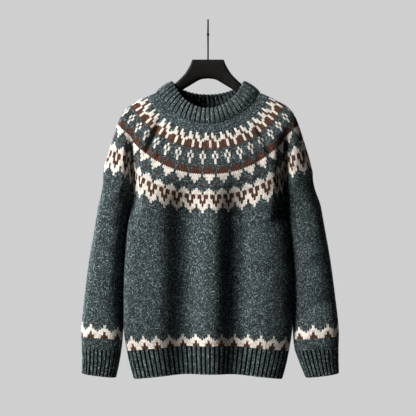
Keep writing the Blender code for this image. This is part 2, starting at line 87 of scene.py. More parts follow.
BODY_NAMES = ("share", "half_width", "front_y", "back_y")
BODY_ROWS = (
    (0.00, 0.180, 0.0600, 0.0500),
    (0.12, 0.185, 0.0610, 0.0510),
    (0.34, 0.193, 0.0620, 0.0520),
    (0.64, 0.198, 0.0600, 0.0500),
    (0.83, 0.198, 0.0570, 0.0470),
    (0.92, 0.195, 0.0530, 0.0440),
    (1.00, 0.190, 0.0480, 0.0400),
)
BODY_SQUARENESS = 2.5
BODY_BLEND = 0.22  # share of the body over which it rounds out from the yoke's edge
HEM_SEAM_Z = -0.760
HEM_EDGE_Z = -0.826
HEM_SIDE_DROP = 0.013
HEM_NAMES = ("share", "half_width", "front_y", "back_y")
HEM_ROWS = (
    (0.0, 0.190, 0.0480, 0.0400),
    (0.5, 0.183, 0.0440, 0.0370),
    (1.0, 0.174, 0.0420, 0.0350),
)

# The hanging folds: where each runs, the heights between which it deepens, and how deep and
# wide it is. It runs on down to the hem, where a share of its depth is left.
FOLD_FREE = 0.08  # from this far above the hem's seam, a fold starts to lose depth
FOLD_NAMES = (
    "side", "top_x", "hem_x", "start_z", "full_z", "depth", "left_width", "right_width", "hem_share"
)
FOLD_ROWS = (
    ("front", -0.054, -0.057, -0.335, -0.470, 0.038, 0.040, 0.042, 0.72),
    ("front", 0.065, 0.062, -0.340, -0.480, 0.036, 0.034, 0.040, 0.72),
    ("back", -0.062, -0.070, -0.380, -0.520, 0.024, 0.036, 0.028, 0.50),
    ("back", 0.078, 0.086, -0.360, -0.480, 0.027, 0.030, 0.036, 0.50),
)

# Soft troughs in the cloth, and ridges, whose depth is less than zero.
WRINKLE_NAMES = ("side", "from_x", "from_z", "to_x", "to_z", "depth", "half_width")
WRINKLE_ROWS = (
    ("front", -0.110, -0.236, -0.148, -0.322, 0.0075, 0.0065),
    ("front", -0.124, -0.230, -0.162, -0.304, -0.0040, 0.0080),
    ("front", -0.090, -0.262, -0.124, -0.345, 0.0035, 0.0070),
    ("front", 0.112, -0.246, 0.150, -0.330, 0.0060, 0.0070),
    ("front", 0.096, -0.268, 0.128, -0.352, 0.0030, 0.0080),
    ("front", -0.262, -0.452, -0.200, -0.462, -0.0026, 0.0100),
    ("front", -0.262, -0.478, -0.205, -0.488, 0.0026, 0.0110),
    ("front", -0.276, -0.540, -0.214, -0.552, 0.0024, 0.0130),
    ("front", -0.282, -0.640, -0.222, -0.628, 0.0020, 0.0140),
    ("front", 0.206, -0.452, 0.256, -0.474, 0.0026, 0.0110),
    ("front", 0.212, -0.540, 0.276, -0.552, -0.0024, 0.0120),
    ("front", 0.216, -0.566, 0.280, -0.574, 0.0024, 0.0120),
    ("front", 0.224, -0.668, 0.292, -0.650, 0.0020, 0.0140),
    ("front", -0.158, -0.560, -0.112, -0.585, 0.0020, 0.0160),
    ("front", -0.022, -0.640, 0.018, -0.622, 0.0020, 0.0150),
    ("front", 0.104, -0.600, 0.160, -0.574, 0.0022, 0.0160),
    ("back", 0.114, -0.240, 0.150, -0.326, 0.0064, 0.0075),
    ("back", 0.128, -0.234, 0.162, -0.306, -0.0036, 0.0085),
    ("back", -0.104, -0.238, -0.146, -0.330, 0.0055, 0.0080),
    ("back", 0.208, -0.470, 0.262, -0.460, 0.0026, 0.0110),
    ("back", 0.220, -0.590, 0.284, -0.604, -0.0022, 0.0120),
    ("back", -0.268, -0.500, -0.206, -0.516, 0.0028, 0.0120),
    ("back", -0.280, -0.592, -0.214, -0.602, 0.0022, 0.0120),
    ("back", -0.020, -0.560, 0.030, -0.580, 0.0022, 0.0170),
)
WRINKLE_END = 0.1  # a wrinkle's depth follows half a sine wave, short of this share at each end

SLEEVE_NAMES = ("share", "left_outer", "right_outer", "left_gap", "right_gap", "half_depth")
SLEEVE_ROWS = (
    (0.00, 0.246, 0.248, 0.0020, 0.0020, 0.0440),
    (0.13, 0.2545, 0.2605, 0.0024, 0.0024, 0.0450),
    (0.32, 0.267, 0.275, 0.0026, 0.0026, 0.0450),
    (0.50, 0.280, 0.288, 0.0028, 0.0028, 0.0440),
    (0.65, 0.288, 0.2965, 0.0030, 0.0030, 0.0430),
    (0.83, 0.2955, 0.305, 0.0032, 0.0032, 0.0415),
    (0.92, 0.297, 0.307, 0.0055, 0.0055, 0.0400),
    (1.00, 0.296, 0.306, 0.0135, 0.0140, 0.0370),
)
SLEEVE_SQUARENESS = 2.5
SLEEVE_BLEND = 0.20
SLEEVE_CENTRE_Y = 0.003
TUCK_BACK = {"left": 0.028, "right": 0.018}  # a sleeve's inner edge lies this far back,
TUCK_CURVE = 3  # (less with this power of the way in, towards its outer edge)
TUCK_UNDER = 0.0055  # and this far in behind the body's side,
SLEEVE_TURN = 0.016  # and its outer edge lies this far back,
TUCK_END = 0.72  # down to this share of its length, where it starts to swing free
TUCK_FADE = 0.22
CUFF_SEAM_OUTER_Z = -0.766
CUFF_SEAM_INNER_Z = -0.771
CUFF_EDGE_OUTER_Z = -0.826
CUFF_EDGE_INNER_Z = -0.836
CUFF_NAMES = ("share", "left_outer", "right_outer", "left_inner", "right_inner", "half_depth")
CUFF_ROWS = (
    (0.0, 0.296, 0.306, 0.2035, 0.2040, 0.0370),
    (0.5, 0.295, 0.306, 0.2090, 0.2160, 0.0330),
    (1.0, 0.296, 0.307, 0.2160, 0.2290, 0.0300),
)

COLLAR_NAMES = ("share", "front_z", "side_z", "back_z", "half_width", "front_y", "back_y")
COLLAR_ROWS = (
    (0.0, -0.2435, -0.1695, -0.2055, 0.1210, 0.0540, 0.0440),
    (1.0, -0.2110, -0.1460, -0.1730, 0.0880, 0.0460, 0.0360),
)
COLLAR_SQUARENESS = 2.1
NECKLINE_LEVEL = 0.28  # share of the neck's depth where it lies level over the hanger's arms
NECKLINE_CURVE = 1.25
COLLAR_SWELL = 0.0015  # the band's outer face is a little rounded
COLLAR_THIN = 0.45  # how much thinner the outer half is where it is picked up from the yoke
COLLAR_THIN_SHARE = 0.3

HANGER_NAMES = ("x", "top", "bottom", "half_depth")
HANGER_ROWS = (
    (0.0000, -0.0907, -0.1350, 0.0075),
    (0.0180, -0.0907, -0.1378, 0.0076),
    (0.0370, -0.0907, -0.1484, 0.0080),
    (0.0400, -0.0990, -0.1502, 0.0081),
    (0.0463, -0.1112, -0.1540, 0.0085),
    (0.0545, -0.1240, -0.1588, 0.0092),
    (0.0655, -0.1360, -0.1665, 0.0105),
    (0.0765, -0.1460, -0.1740, 0.0108),
    (0.1000, -0.1645, -0.1880, 0.0120),
    (0.1230, -0.1805, -0.2000, 0.0135),
    (0.1500, -0.1925, -0.2095, 0.0150),
    (0.1660, -0.2005, -0.2145, 0.0140),
    (0.1730, -0.2055, -0.2140, 0.0100),
)
HANGER_SIDES = 56
HANGER_SECTIONS = 90  # in each arm
HANGER_SQUARENESS = 3.4

HOOK_RADIUS = 0.0020
HOOK_CROWN = 0.0145
HOOK_FOOT_GAP = 0.0004  # from the hanger's top to the foot of the wire
HOOK_BEND = 2.2  # the stem bends from this many crown radii under the crown's centre
HOOK_STEM_STEPS = 16
HOOK_CROWN_STEPS = 40
HOOK_SIDES = 20
HOOK_BALL_RADIUS = 0.0034
HOOK_BALL_STEPS = 14
HOOK_BALL_END = 0.97  # share of the ball's half turn at which its small flat foot lies
HOOK_TIP_DROP = 0.012
SMOOTH_ANGLE = math.radians(50)  # the hanger's and hook's edges are smooth up to this angle

# ---------------------------------------------------------------- the knitting

GROUND, PATTERN, ACCENT = 0, 1, 2
YARNS = {".": GROUND, "c": PATTERN, "b": ACCENT}

# The lines down one unit of knitting: place across it, hand (-1 where a leg starts, high, and 1
# where it ends, low), level (-1 in the groove of a rib) and whether a leg follows the line.
STOCKINETTE = ((0.0, -1.0, 0.0, True), (0.5, 1.0, 0.0, True))
RIB = ((0.0, 0.0, -1.0, False), (0.20, -1.0, 0.0, True), (0.50, 1.0, 0.1, True), (0.80, -1.0, 0.0, False))


def chart(*runs):
    """A chart's rows from (row, how many times it is knitted)."""
    return tuple(row for row, times in runs for _ in range(times))


PEAKS = chart(
    ("..c..c.", 2),
    ("..cc.cc", 1),
    ("..ccbcc", 1),
    (".cccbbc", 1),
    ("ccbbcbc", 1),
    ("cbbbcbb", 4),
    (".bbb.bb", 1),
    (".", 1),
)
SPRIGS = chart(("c.....", 2), (".c...c", 3), ("c.....", 4))
TULIPS = chart((".", 1), ("bb...b", 2), ("bbb.bb", 3), ("ccc.cc", 2), ("cc...c", 2), ("c.....", 2))
DOTS = chart(("...b..", 2), (".", 1))
LEAVES = chart(
    ("c.....", 1),
    ("cc...c", 1),
    ("ccc.cc", 2),
    ("cbbcbb", 3),
    ("ccbcbc", 1),
    ("ccbbbc", 2),
    ("bccbcc", 1),
    (".ccbcc", 1),
    (".ccccc", 1),
    ("..ccc.", 1),
    ("...c..", 2),
)
ZIGZAG = chart(("c.....", 2), ("cc...c", 1), ("ccc.cc", 1), ("bccccc", 2), ("bbcccb", 2))
PLAIN = "."

# stitches round the piece, the chart's column on the middle of the front, how much of a stitch
# lies left of the middle there, and the rows
YOKE_ZONES = (
    (120, 0, 0.5, chart((PLAIN, 6))),
    (154, 3, 0.5, PEAKS),
    (210, 3, 0.0, SPRIGS),
    (210, 0, 0.0, TULIPS + DOTS),
    (258, 0, 0.0, LEAVES),
)
BODY_COURSES = 88
BODY_ZONES = ((168, 0, 0.2, chart((PLAIN, BODY_COURSES - len(ZIGZAG))) + ZIGZAG),)
SLEEVE_COURSES = 103
SLEEVE_BAND_GAP = 7
SLEEVE_PLAIN = chart((PLAIN, SLEEVE_COURSES - len(ZIGZAG) - SLEEVE_BAND_GAP))
SLEEVE_ZONES = ((54, 0, 0.5, SLEEVE_PLAIN + ZIGZAG + chart((PLAIN, SLEEVE_BAND_GAP))),)
HEM_ZONES = ((75, 0, 0.5, chart((PLAIN, 18))),)
CUFF_ZONES = ((28, 0, 0.5, chart((PLAIN, 16))),)
COLLAR_RIBS = 52
COLLAR_FACE_COURSES = 11
COLLAR_FOLD_COURSES = 4
ZONE_JOIN = 0.3  # share of a course left between two counts of stitches
INNER_RINGS = 14
# through the wools this share also gives the inner face part of the painted shade of the grooves
INNER_LEG = 0.4  # the smooth inner face's height and shade, as a share of a leg's
STRIPS = 4  # the flat map cuts a piece into this many strips
STRIP_MARGIN = 0.02
# heights on the map where the outer face ends, and where the inner face starts and ends
MAP_OUTER, MAP_INNER, MAP_END = 0.76, 0.80, 0.98

LEG_HEIGHT = 0.0011
LEG_SINK = 0.0005  # the lattice lies this far inside the cloth's face
LEG_LEAN = 0.85  # courses from the top of a leg to its foot
RIB_DEPTH = 0.0038
RIB_DEPTHS = {"collar": 0.0015, "hem_rib": 0.0044}
UNEVEN = 0.00022

# ---------------------------------------------------------------- tables and plans


def read_table(names, rows, at):
    """Each named column of a table at one place along its first column, joined smoothly."""
    table = np.array([row[-len(names):] for row in rows], dtype=float)
    keys = table[:, 0]
    steps = np.diff(keys)
    slopes = np.diff(table, axis=0) / steps[:, None]
    tangents = np.vstack([slopes[:1], 0.5 * (slopes[:-1] + slopes[1:]), slopes[-1:]])
    turns = slopes[:-1] * slopes[1:] <= 0.0
    tangents[1:-1][turns] = 0.0
    i = int(np.clip(np.searchsorted(keys, at, side="right") - 1, 0, len(steps) - 1))
    t = (at - keys[i]) / steps[i]
    value = (
        (2 * t**3 - 3 * t**2 + 1) * table[i]
        + (t**3 - 2 * t**2 + t) * steps[i] * tangents[i]
        + (3 * t**2 - 2 * t**3) * table[i + 1]
        + (t**3 - t**2) * steps[i] * tangents[i + 1]
    )
    return dict(zip(names, value))


def smooth_step(x):
    x = np.clip(x, 0.0, 1.0)
    return x * x * (3.0 - 2.0 * x)


def plan_curve(half_width, front_y, back_y, squareness):
    """A closed plan seen from above: x and y, from the middle of the front towards +X."""
    turn = np.linspace(0.0, 2 * math.pi, DENSE_POINTS, endpoint=False)
    across, along = np.sin(turn), np.cos(turn)
    x = half_width * np.sign(across) * np.abs(across) ** (2 / squareness)
    depth = np.where(along > 0.0, front_y, back_y)
    y = -depth * np.sign(along) * np.abs(along) ** (2 / squareness)
    return x, y


def measured(curve):
    """A closed curve with its first point again at its end, and the length up to each point."""
    closed = np.vstack([curve, curve[:1]])
    return closed, np.concatenate([[0.0], np.cumsum(np.linalg.norm(np.diff(closed, axis=0), axis=1))])


def spaced(curve, shares):
    """Points at these shares of a closed curve's length."""
    closed, lengths = measured(curve)
    at = np.asarray(shares) * lengths[-1]
    return np.column_stack([np.interp(at, lengths, closed[:, i]) for i in range(3)])


def with_folds(x, y, z):
    """The hanging folds press the front and the back of the cloth inwards."""
    y = y.copy()
    for row in FOLD_ROWS:
        fold = dict(zip(FOLD_NAMES, row))
        facing = -1.0 if fold["side"] == "front" else 1.0
        down = smooth_step((fold["start_z"] - z) / (fold["start_z"] - fold["full_z"]))
        run = np.clip((fold["start_z"] - z) / (fold["start_z"] - HEM_EDGE_Z), 0.0, 1.0)
        held = smooth_step((z - HEM_EDGE_Z) / (HEM_SEAM_Z + FOLD_FREE - HEM_EDGE_Z))
        depth = fold["depth"] * down * (fold["hem_share"] + (1.0 - fold["hem_share"]) * held)
        middle = fold["top_x"] + (fold["hem_x"] - fold["top_x"]) * run
        width = np.where(x < middle, fold["left_width"], fold["right_width"])
        press = depth * np.exp(-(((x - middle) / width) ** 2))
        y -= np.where(y * facing > 0.0, facing * press, 0.0)
    return y


def neckline_dip(row, y):
    """How far a neckline has dipped from its side (0) to the middle of the front or back (1)."""
    depth = np.abs(y) / np.where(y < 0.0, row["front_y"], row["back_y"])
    return np.clip((depth - NECKLINE_LEVEL) / (1.0 - NECKLINE_LEVEL), 0.0, 1.0) ** NECKLINE_CURVE


def dropped(out, middle_z):
    """A height at the hem, at a share of the way out to its side, where it hangs lower."""
    return middle_z - HEM_SIDE_DROP * out**2


# ---------------------------------------------------------------- the rings of each piece


def yoke_curve(share):
    """The yoke's ring at a share of its depth, as a dense closed curve."""
    row = read_table(YOKE_NAMES, YOKE_ROWS, share)
    free = smooth_step(share / NECK_BLEND)
    squareness = COLLAR_SQUARENESS + (YOKE_SQUARENESS - COLLAR_SQUARENESS) * free
    x, y = plan_curve(row["half_width"], row["front_y"], row["back_y"], squareness)
    rise = free * (np.abs(x) / row["half_width"]) ** YOKE_RISE
    rise += (1.0 - free) * (1.0 - neckline_dip(row, y))
    middle_z = np.where(y < 0.0, row["front_z"], row["back_z"])
    z = middle_z + (row["side_z"] - middle_z) * rise
    beyond = (np.abs(x) - LIFT_START_X) / (row["half_width"] - LIFT_START_X)
    z += LIFT * row["crease"] * smooth_step(beyond / LIFT_SHARE) * np.clip(1.0 - beyond, 0.0, 1.0)
    closing = row["crease"] * np.exp(-(((np.abs(x) - CREASE_X) / CREASE_WIDTH) ** 2))
    return np.column_stack([x, with_folds(x, y * (1.0 - closing), z), z])


def crease_shares(curve):
    """The shares of a ring's length at which it passes the two creases, anticlockwise."""
    _, lengths = measured(curve)
    outside = np.abs(curve[:, 0]) > CREASE_X
    passing = np.where(outside != np.roll(outside, 1))[0]
    return lengths[passing] / lengths[-1]


def yoke_rings():
    """The yoke's rings. Its columns turn so that the lower edge has one on each crease."""
    marks = [0, YOKE_COLUMNS_FRONT // 2]
    for columns in (YOKE_COLUMNS_SLEEVE, YOKE_COLUMNS_FRONT, YOKE_COLUMNS_SLEEVE):
        marks.append(marks[-1] + columns)
    marks.append(YOKE_COLUMNS)
    columns = np.arange(YOKE_COLUMNS)
    even = columns / YOKE_COLUMNS
    creased = np.interp(columns, marks, [0.0, *crease_shares(yoke_curve(1.0)), 1.0])
    rings = []
    for share in np.linspace(0.0, 1.0, DENSE_RINGS):
        rings.append(spaced(yoke_curve(share), even + (creased - even) * smooth_step(share)))
    return np.array(rings)


def tube_end(from_point, to_point, out_x, low_z, steps):
    """A rounded end from one point of a plan to another, reaching out_x halfway."""
    turn = np.linspace(0.0, math.pi, steps + 2)[1:-1]
    x = from_point[0] + (out_x - from_point[0]) * np.sin(turn)
    y = from_point[1] + (to_point[1] - from_point[1]) * (0.5 - 0.5 * np.cos(turn))
    return np.column_stack([x, y, np.full(steps, low_z)])


def body_top(edge):
    """The ring under the yoke's edge: its front and back, closed round at the underarms."""
    half_front = YOKE_COLUMNS_FRONT // 2
    back_start = half_front + YOKE_COLUMNS_SLEEVE
    front = np.roll(edge, half_front - 1, axis=0)[: YOKE_COLUMNS_FRONT - 1]
    back = edge[back_start + 1 : back_start + YOKE_COLUMNS_FRONT]
    low_z = min(front[-1][2], back[0][2])
    reach = CREASE_X - TUBE_GAP
    right = tube_end(front[-1], back[0], reach, low_z, BODY_END_STEPS)
    left = tube_end(back[-1], front[0], -reach, low_z, BODY_END_STEPS)
    ring = np.vstack([front[half_front - 1 :], right, back, left, front[: half_front - 1]])
    ring[:, 2] -= SEAM_GAP
    return ring


def sleeve_top(edge):
    """The same for the sleeve at +X, from its underarm round by the front."""
    half_front = YOKE_COLUMNS_FRONT // 2
    outer = edge[half_front + 1 : half_front + YOKE_COLUMNS_SLEEVE]
    low_z = edge[[half_front, half_front + YOKE_COLUMNS_SLEEVE], 2].min()
    inner = tube_end(outer[-1], outer[0], CREASE_X + TUBE_GAP, low_z, SLEEVE_END_STEPS)
    middle = SLEEVE_END_STEPS // 2
    ring = np.vstack([inner[middle:], outer, inner[:middle]])
    ring[:, 2] -= SEAM_GAP
    return ring


def body_plan(row):
    """The body's unfolded ring, level, and each point's share of the way out to the side."""
    x, y = plan_curve(row["half_width"], row["front_y"], row["back_y"], BODY_SQUARENESS)
    even = np.arange(BODY_COLUMNS) / BODY_COLUMNS
    flat = spaced(np.column_stack([x, y, np.zeros_like(x)]), even)
    return flat[:, 0], flat[:, 1], flat[:, 0] / row["half_width"]


def body_rings(edge):
    top = body_top(edge)
    rings = []
    for share in np.linspace(0.0, 1.0, DENSE_RINGS):
        row = read_table(BODY_NAMES, BODY_ROWS, share)
        x, y, out = body_plan(row)
        z = top[:, 2] + (dropped(out, HEM_SEAM_Z) - top[:, 2]) * share
        folded = np.column_stack([x, with_folds(x, y, z), z])
        ring = top + (folded - top) * smooth_step(share / BODY_BLEND)
        ring[:, 2] = z
        rings.append(ring)
    return np.array(rings)


def hem_rings():
    rings = []
    for share in np.linspace(0.0, 1.0, DENSE_RINGS // 4):
        row = read_table(HEM_NAMES, HEM_ROWS, share)
        x, y, out = body_plan(row)
        top_z = dropped(out, HEM_SEAM_Z) - SEAM_GAP
        z = top_z + (dropped(out, HEM_EDGE_Z) - top_z) * share
        rings.append(np.column_stack([x, with_folds(x, y, z), z]))
    return np.array(rings)


def tube_plan(inner_x, outer_x, half_depth):
    """A sleeve's plan on the +X side, from its inner edge round by the front."""
    across, depth = 0.5 * (outer_x - inner_x), half_depth
    x, y = plan_curve(across, depth, depth, SLEEVE_SQUARENESS)
    start = 3 * DENSE_POINTS // 4
    plan = np.column_stack([x + inner_x + across, y + SLEEVE_CENTRE_Y, np.zeros_like(x)])
    return spaced(np.roll(plan, -start, axis=0), np.arange(SLEEVE_COLUMNS) / SLEEVE_COLUMNS)


def sloped(points, inner_x, outer_x, inner_z, outer_z):
    share = np.clip((points[:, 0] - inner_x) / (outer_x - inner_x), 0.0, 1.0)
    return inner_z + (outer_z - inner_z) * share


def sleeve_rings(side, edge):
    """One sleeve's rings on the +X side. mirror_x puts the left one in its place."""
    top = sleeve_top(edge)
    rings = []
    for share in np.linspace(0.0, 1.0, DENSE_RINGS):
        row = read_table(SLEEVE_NAMES, SLEEVE_ROWS, share)
        beside = read_table(BODY_NAMES, BODY_ROWS, share)["half_width"]
        tuck = 1.0 - smooth_step((share - TUCK_END) / TUCK_FADE)
        inner_x = beside + row[side + "_gap"] - TUCK_UNDER * tuck
        outer_x = row[side + "_outer"]
        ring = tube_plan(inner_x, outer_x, row["half_depth"])
        inner_share = (outer_x - ring[:, 0]) / (outer_x - inner_x)
        ring[:, 1] += TUCK_BACK[side] * tuck * inner_share**TUCK_CURVE
        ring[:, 1] += SLEEVE_TURN * tuck * (1.0 - inner_share)
        seam_z = sloped(ring, inner_x, outer_x, CUFF_SEAM_INNER_Z, CUFF_SEAM_OUTER_Z)
        ring = top + (ring - top) * smooth_step(share / SLEEVE_BLEND)
        ring[:, 2] = top[:, 2] + (seam_z - top[:, 2]) * share
        rings.append(ring)
    return np.array(rings)


def cuff_rings(side):
    rings = []
    for share in np.linspace(0.0, 1.0, DENSE_RINGS // 4):
        row = read_table(CUFF_NAMES, CUFF_ROWS, share)
        inner_x, outer_x = row[side + "_inner"], row[side + "_outer"]
        ring = tube_plan(inner_x, outer_x, row["half_depth"])
        top_z = sloped(ring, inner_x, outer_x, CUFF_SEAM_INNER_Z, CUFF_SEAM_OUTER_Z) - SEAM_GAP
        edge_z = sloped(ring, inner_x, outer_x, CUFF_EDGE_INNER_Z, CUFF_EDGE_OUTER_Z)
        ring[:, 2] = top_z + (edge_z - top_z) * share
        rings.append(ring)
    return np.array(rings)


def mirror_x(rings):
    """The same ring or rings on the other side, still anticlockwise from the same column."""
    mirrored = rings * np.array([-1.0, 1.0, 1.0])
    return np.roll(mirrored[..., ::-1, :], 1, axis=-2)


def collar_ring(share):
    row = read_table(COLLAR_NAMES, COLLAR_ROWS, share)
    x, y = plan_curve(row["half_width"], row["front_y"], row["back_y"], COLLAR_SQUARENESS)
    middle_z = np.where(y < 0.0, row["front_z"], row["back_z"])
    z = row["side_z"] + (middle_z - row["side_z"]) * neckline_dip(row, y)
    return spaced(np.column_stack([x, y, z]), np.arange(COLLAR_COLUMNS) / COLLAR_COLUMNS)


def collar_rings():
    """The folded rib's rings from its fold down the outer face, and up the inner face again."""
    seam, edge = collar_ring(0.0), collar_ring(1.0)
    up = edge - seam
    length = np.linalg.norm(up, axis=1, keepdims=True)
    up = up / length
    out = np.cross(np.roll(seam, -1, axis=0) - np.roll(seam, 1, axis=0), up)
    out = out / np.linalg.norm(out, axis=1, keepdims=True)
    half = COLLAR_HALF_WALL
    fold = [math.pi / 2 * (1.0 - step / COLLAR_FOLD_COURSES * 2) for step in range(COLLAR_FOLD_COURSES // 2)]
    face = [1.0 - step / COLLAR_FACE_COURSES for step in range(COLLAR_FACE_COURSES + 1)]
    rings = [edge + out * (half * math.cos(turn)) + up * (half * math.sin(turn)) for turn in fold]
    for side in (1.0, -1.0):
        shares = face if side > 0.0 else face[::-1]
        for share in shares:
            swell = COLLAR_SWELL * math.sin(math.pi * share) * max(side, 0.0)
            thin = COLLAR_THIN * (1.0 - smooth_step(share / COLLAR_THIN_SHARE)) if side > 0.0 else 0.0
            reach = half * (1.0 - thin) + swell
            rings.append(seam + up * (NECK_GAP + (length - NECK_GAP) * share) + out * side * reach)
    rings += [edge - out * (half * math.cos(turn)) + up * (half * math.sin(turn)) for turn in fold[:0:-1]]
    return np.array(rings)


# ---------------------------------------------------------------- cloth that stitches are laid on


def outward(rings, closed=False):
    """Unit normals of a tube's rings, level at its two ends."""
    around = np.roll(rings, -1, axis=1) - np.roll(rings, 1, axis=1)
    if closed:
        down = np.roll(rings, -1, axis=0) - np.roll(rings, 1, axis=0)
    else:
        down = np.gradient(rings, axis=0)
    normals = np.cross(down, around)
    if not closed:
        normals[[0, -1], :, 2] = 0.0
    return normals / np.linalg.norm(normals, axis=2, keepdims=True)


def wrinkled(rings):
    """The cloth with its listed wrinkles, each deepest halfway along."""
    out = outward(rings)
    press = np.zeros(rings.shape[:2])
    for row in WRINKLE_ROWS:
        wrinkle = dict(zip(WRINKLE_NAMES, row))
        facing = out[..., 1] * (-1.0 if wrinkle["side"] == "front" else 1.0)
        start = np.array([wrinkle["from_x"], wrinkle["from_z"]])
        run = np.array([wrinkle["to_x"], wrinkle["to_z"]]) - start
        away = rings[..., [0, 2]] - start
        along = np.clip(away @ run / (run @ run), 0.0, 1.0)
        aside = np.linalg.norm(away - along[..., None] * run, axis=-1)
        arc = np.sin(math.pi * (WRINKLE_END + (1.0 - 2.0 * WRINKLE_END) * along))
        depth = wrinkle["depth"] * arc * smooth_step(2.0 * facing)
        press += depth * np.exp(-((aside / wrinkle["half_width"]) ** 2))
    return rings - out * press[..., None]


class Cloth:
    """A smooth tube, read at any share of its length down it and of the way round it."""

    def __init__(self, rings, closed=False):
        self.rings = np.concatenate([rings, rings[:1]]) if closed else rings
        normals = outward(rings, closed)
        self.normals = np.concatenate([normals, normals[:1]]) if closed else normals

    def read(self, grid, down, around):
        rows, columns = grid.shape[:2]
        r = np.clip(down, 0.0, 1.0) * (rows - 1)
        c = np.mod(around, 1.0) * columns
        r0 = np.minimum(r.astype(int), rows - 2)
        c0 = np.floor(c).astype(int) % columns
        c1 = (c0 + 1) % columns
        fr, fc = (r - r0)[:, None], (c - np.floor(c))[:, None]
        upper = grid[r0, c0] * (1.0 - fc) + grid[r0, c1] * fc
        lower = grid[r0 + 1, c0] * (1.0 - fc) + grid[r0 + 1, c1] * fc
        return upper * (1.0 - fr) + lower * fr

    def at(self, down, around):
        return self.read(self.rings, down, around)

    def out(self, down, around):
        normals = self.read(self.normals, down, around)
        return normals / np.linalg.norm(normals, axis=1, keepdims=True)

    def course(self, down, around, size):
        """The step from one course to the next."""
        return self.at(down + size / 2, around) - self.at(down - size / 2, around)


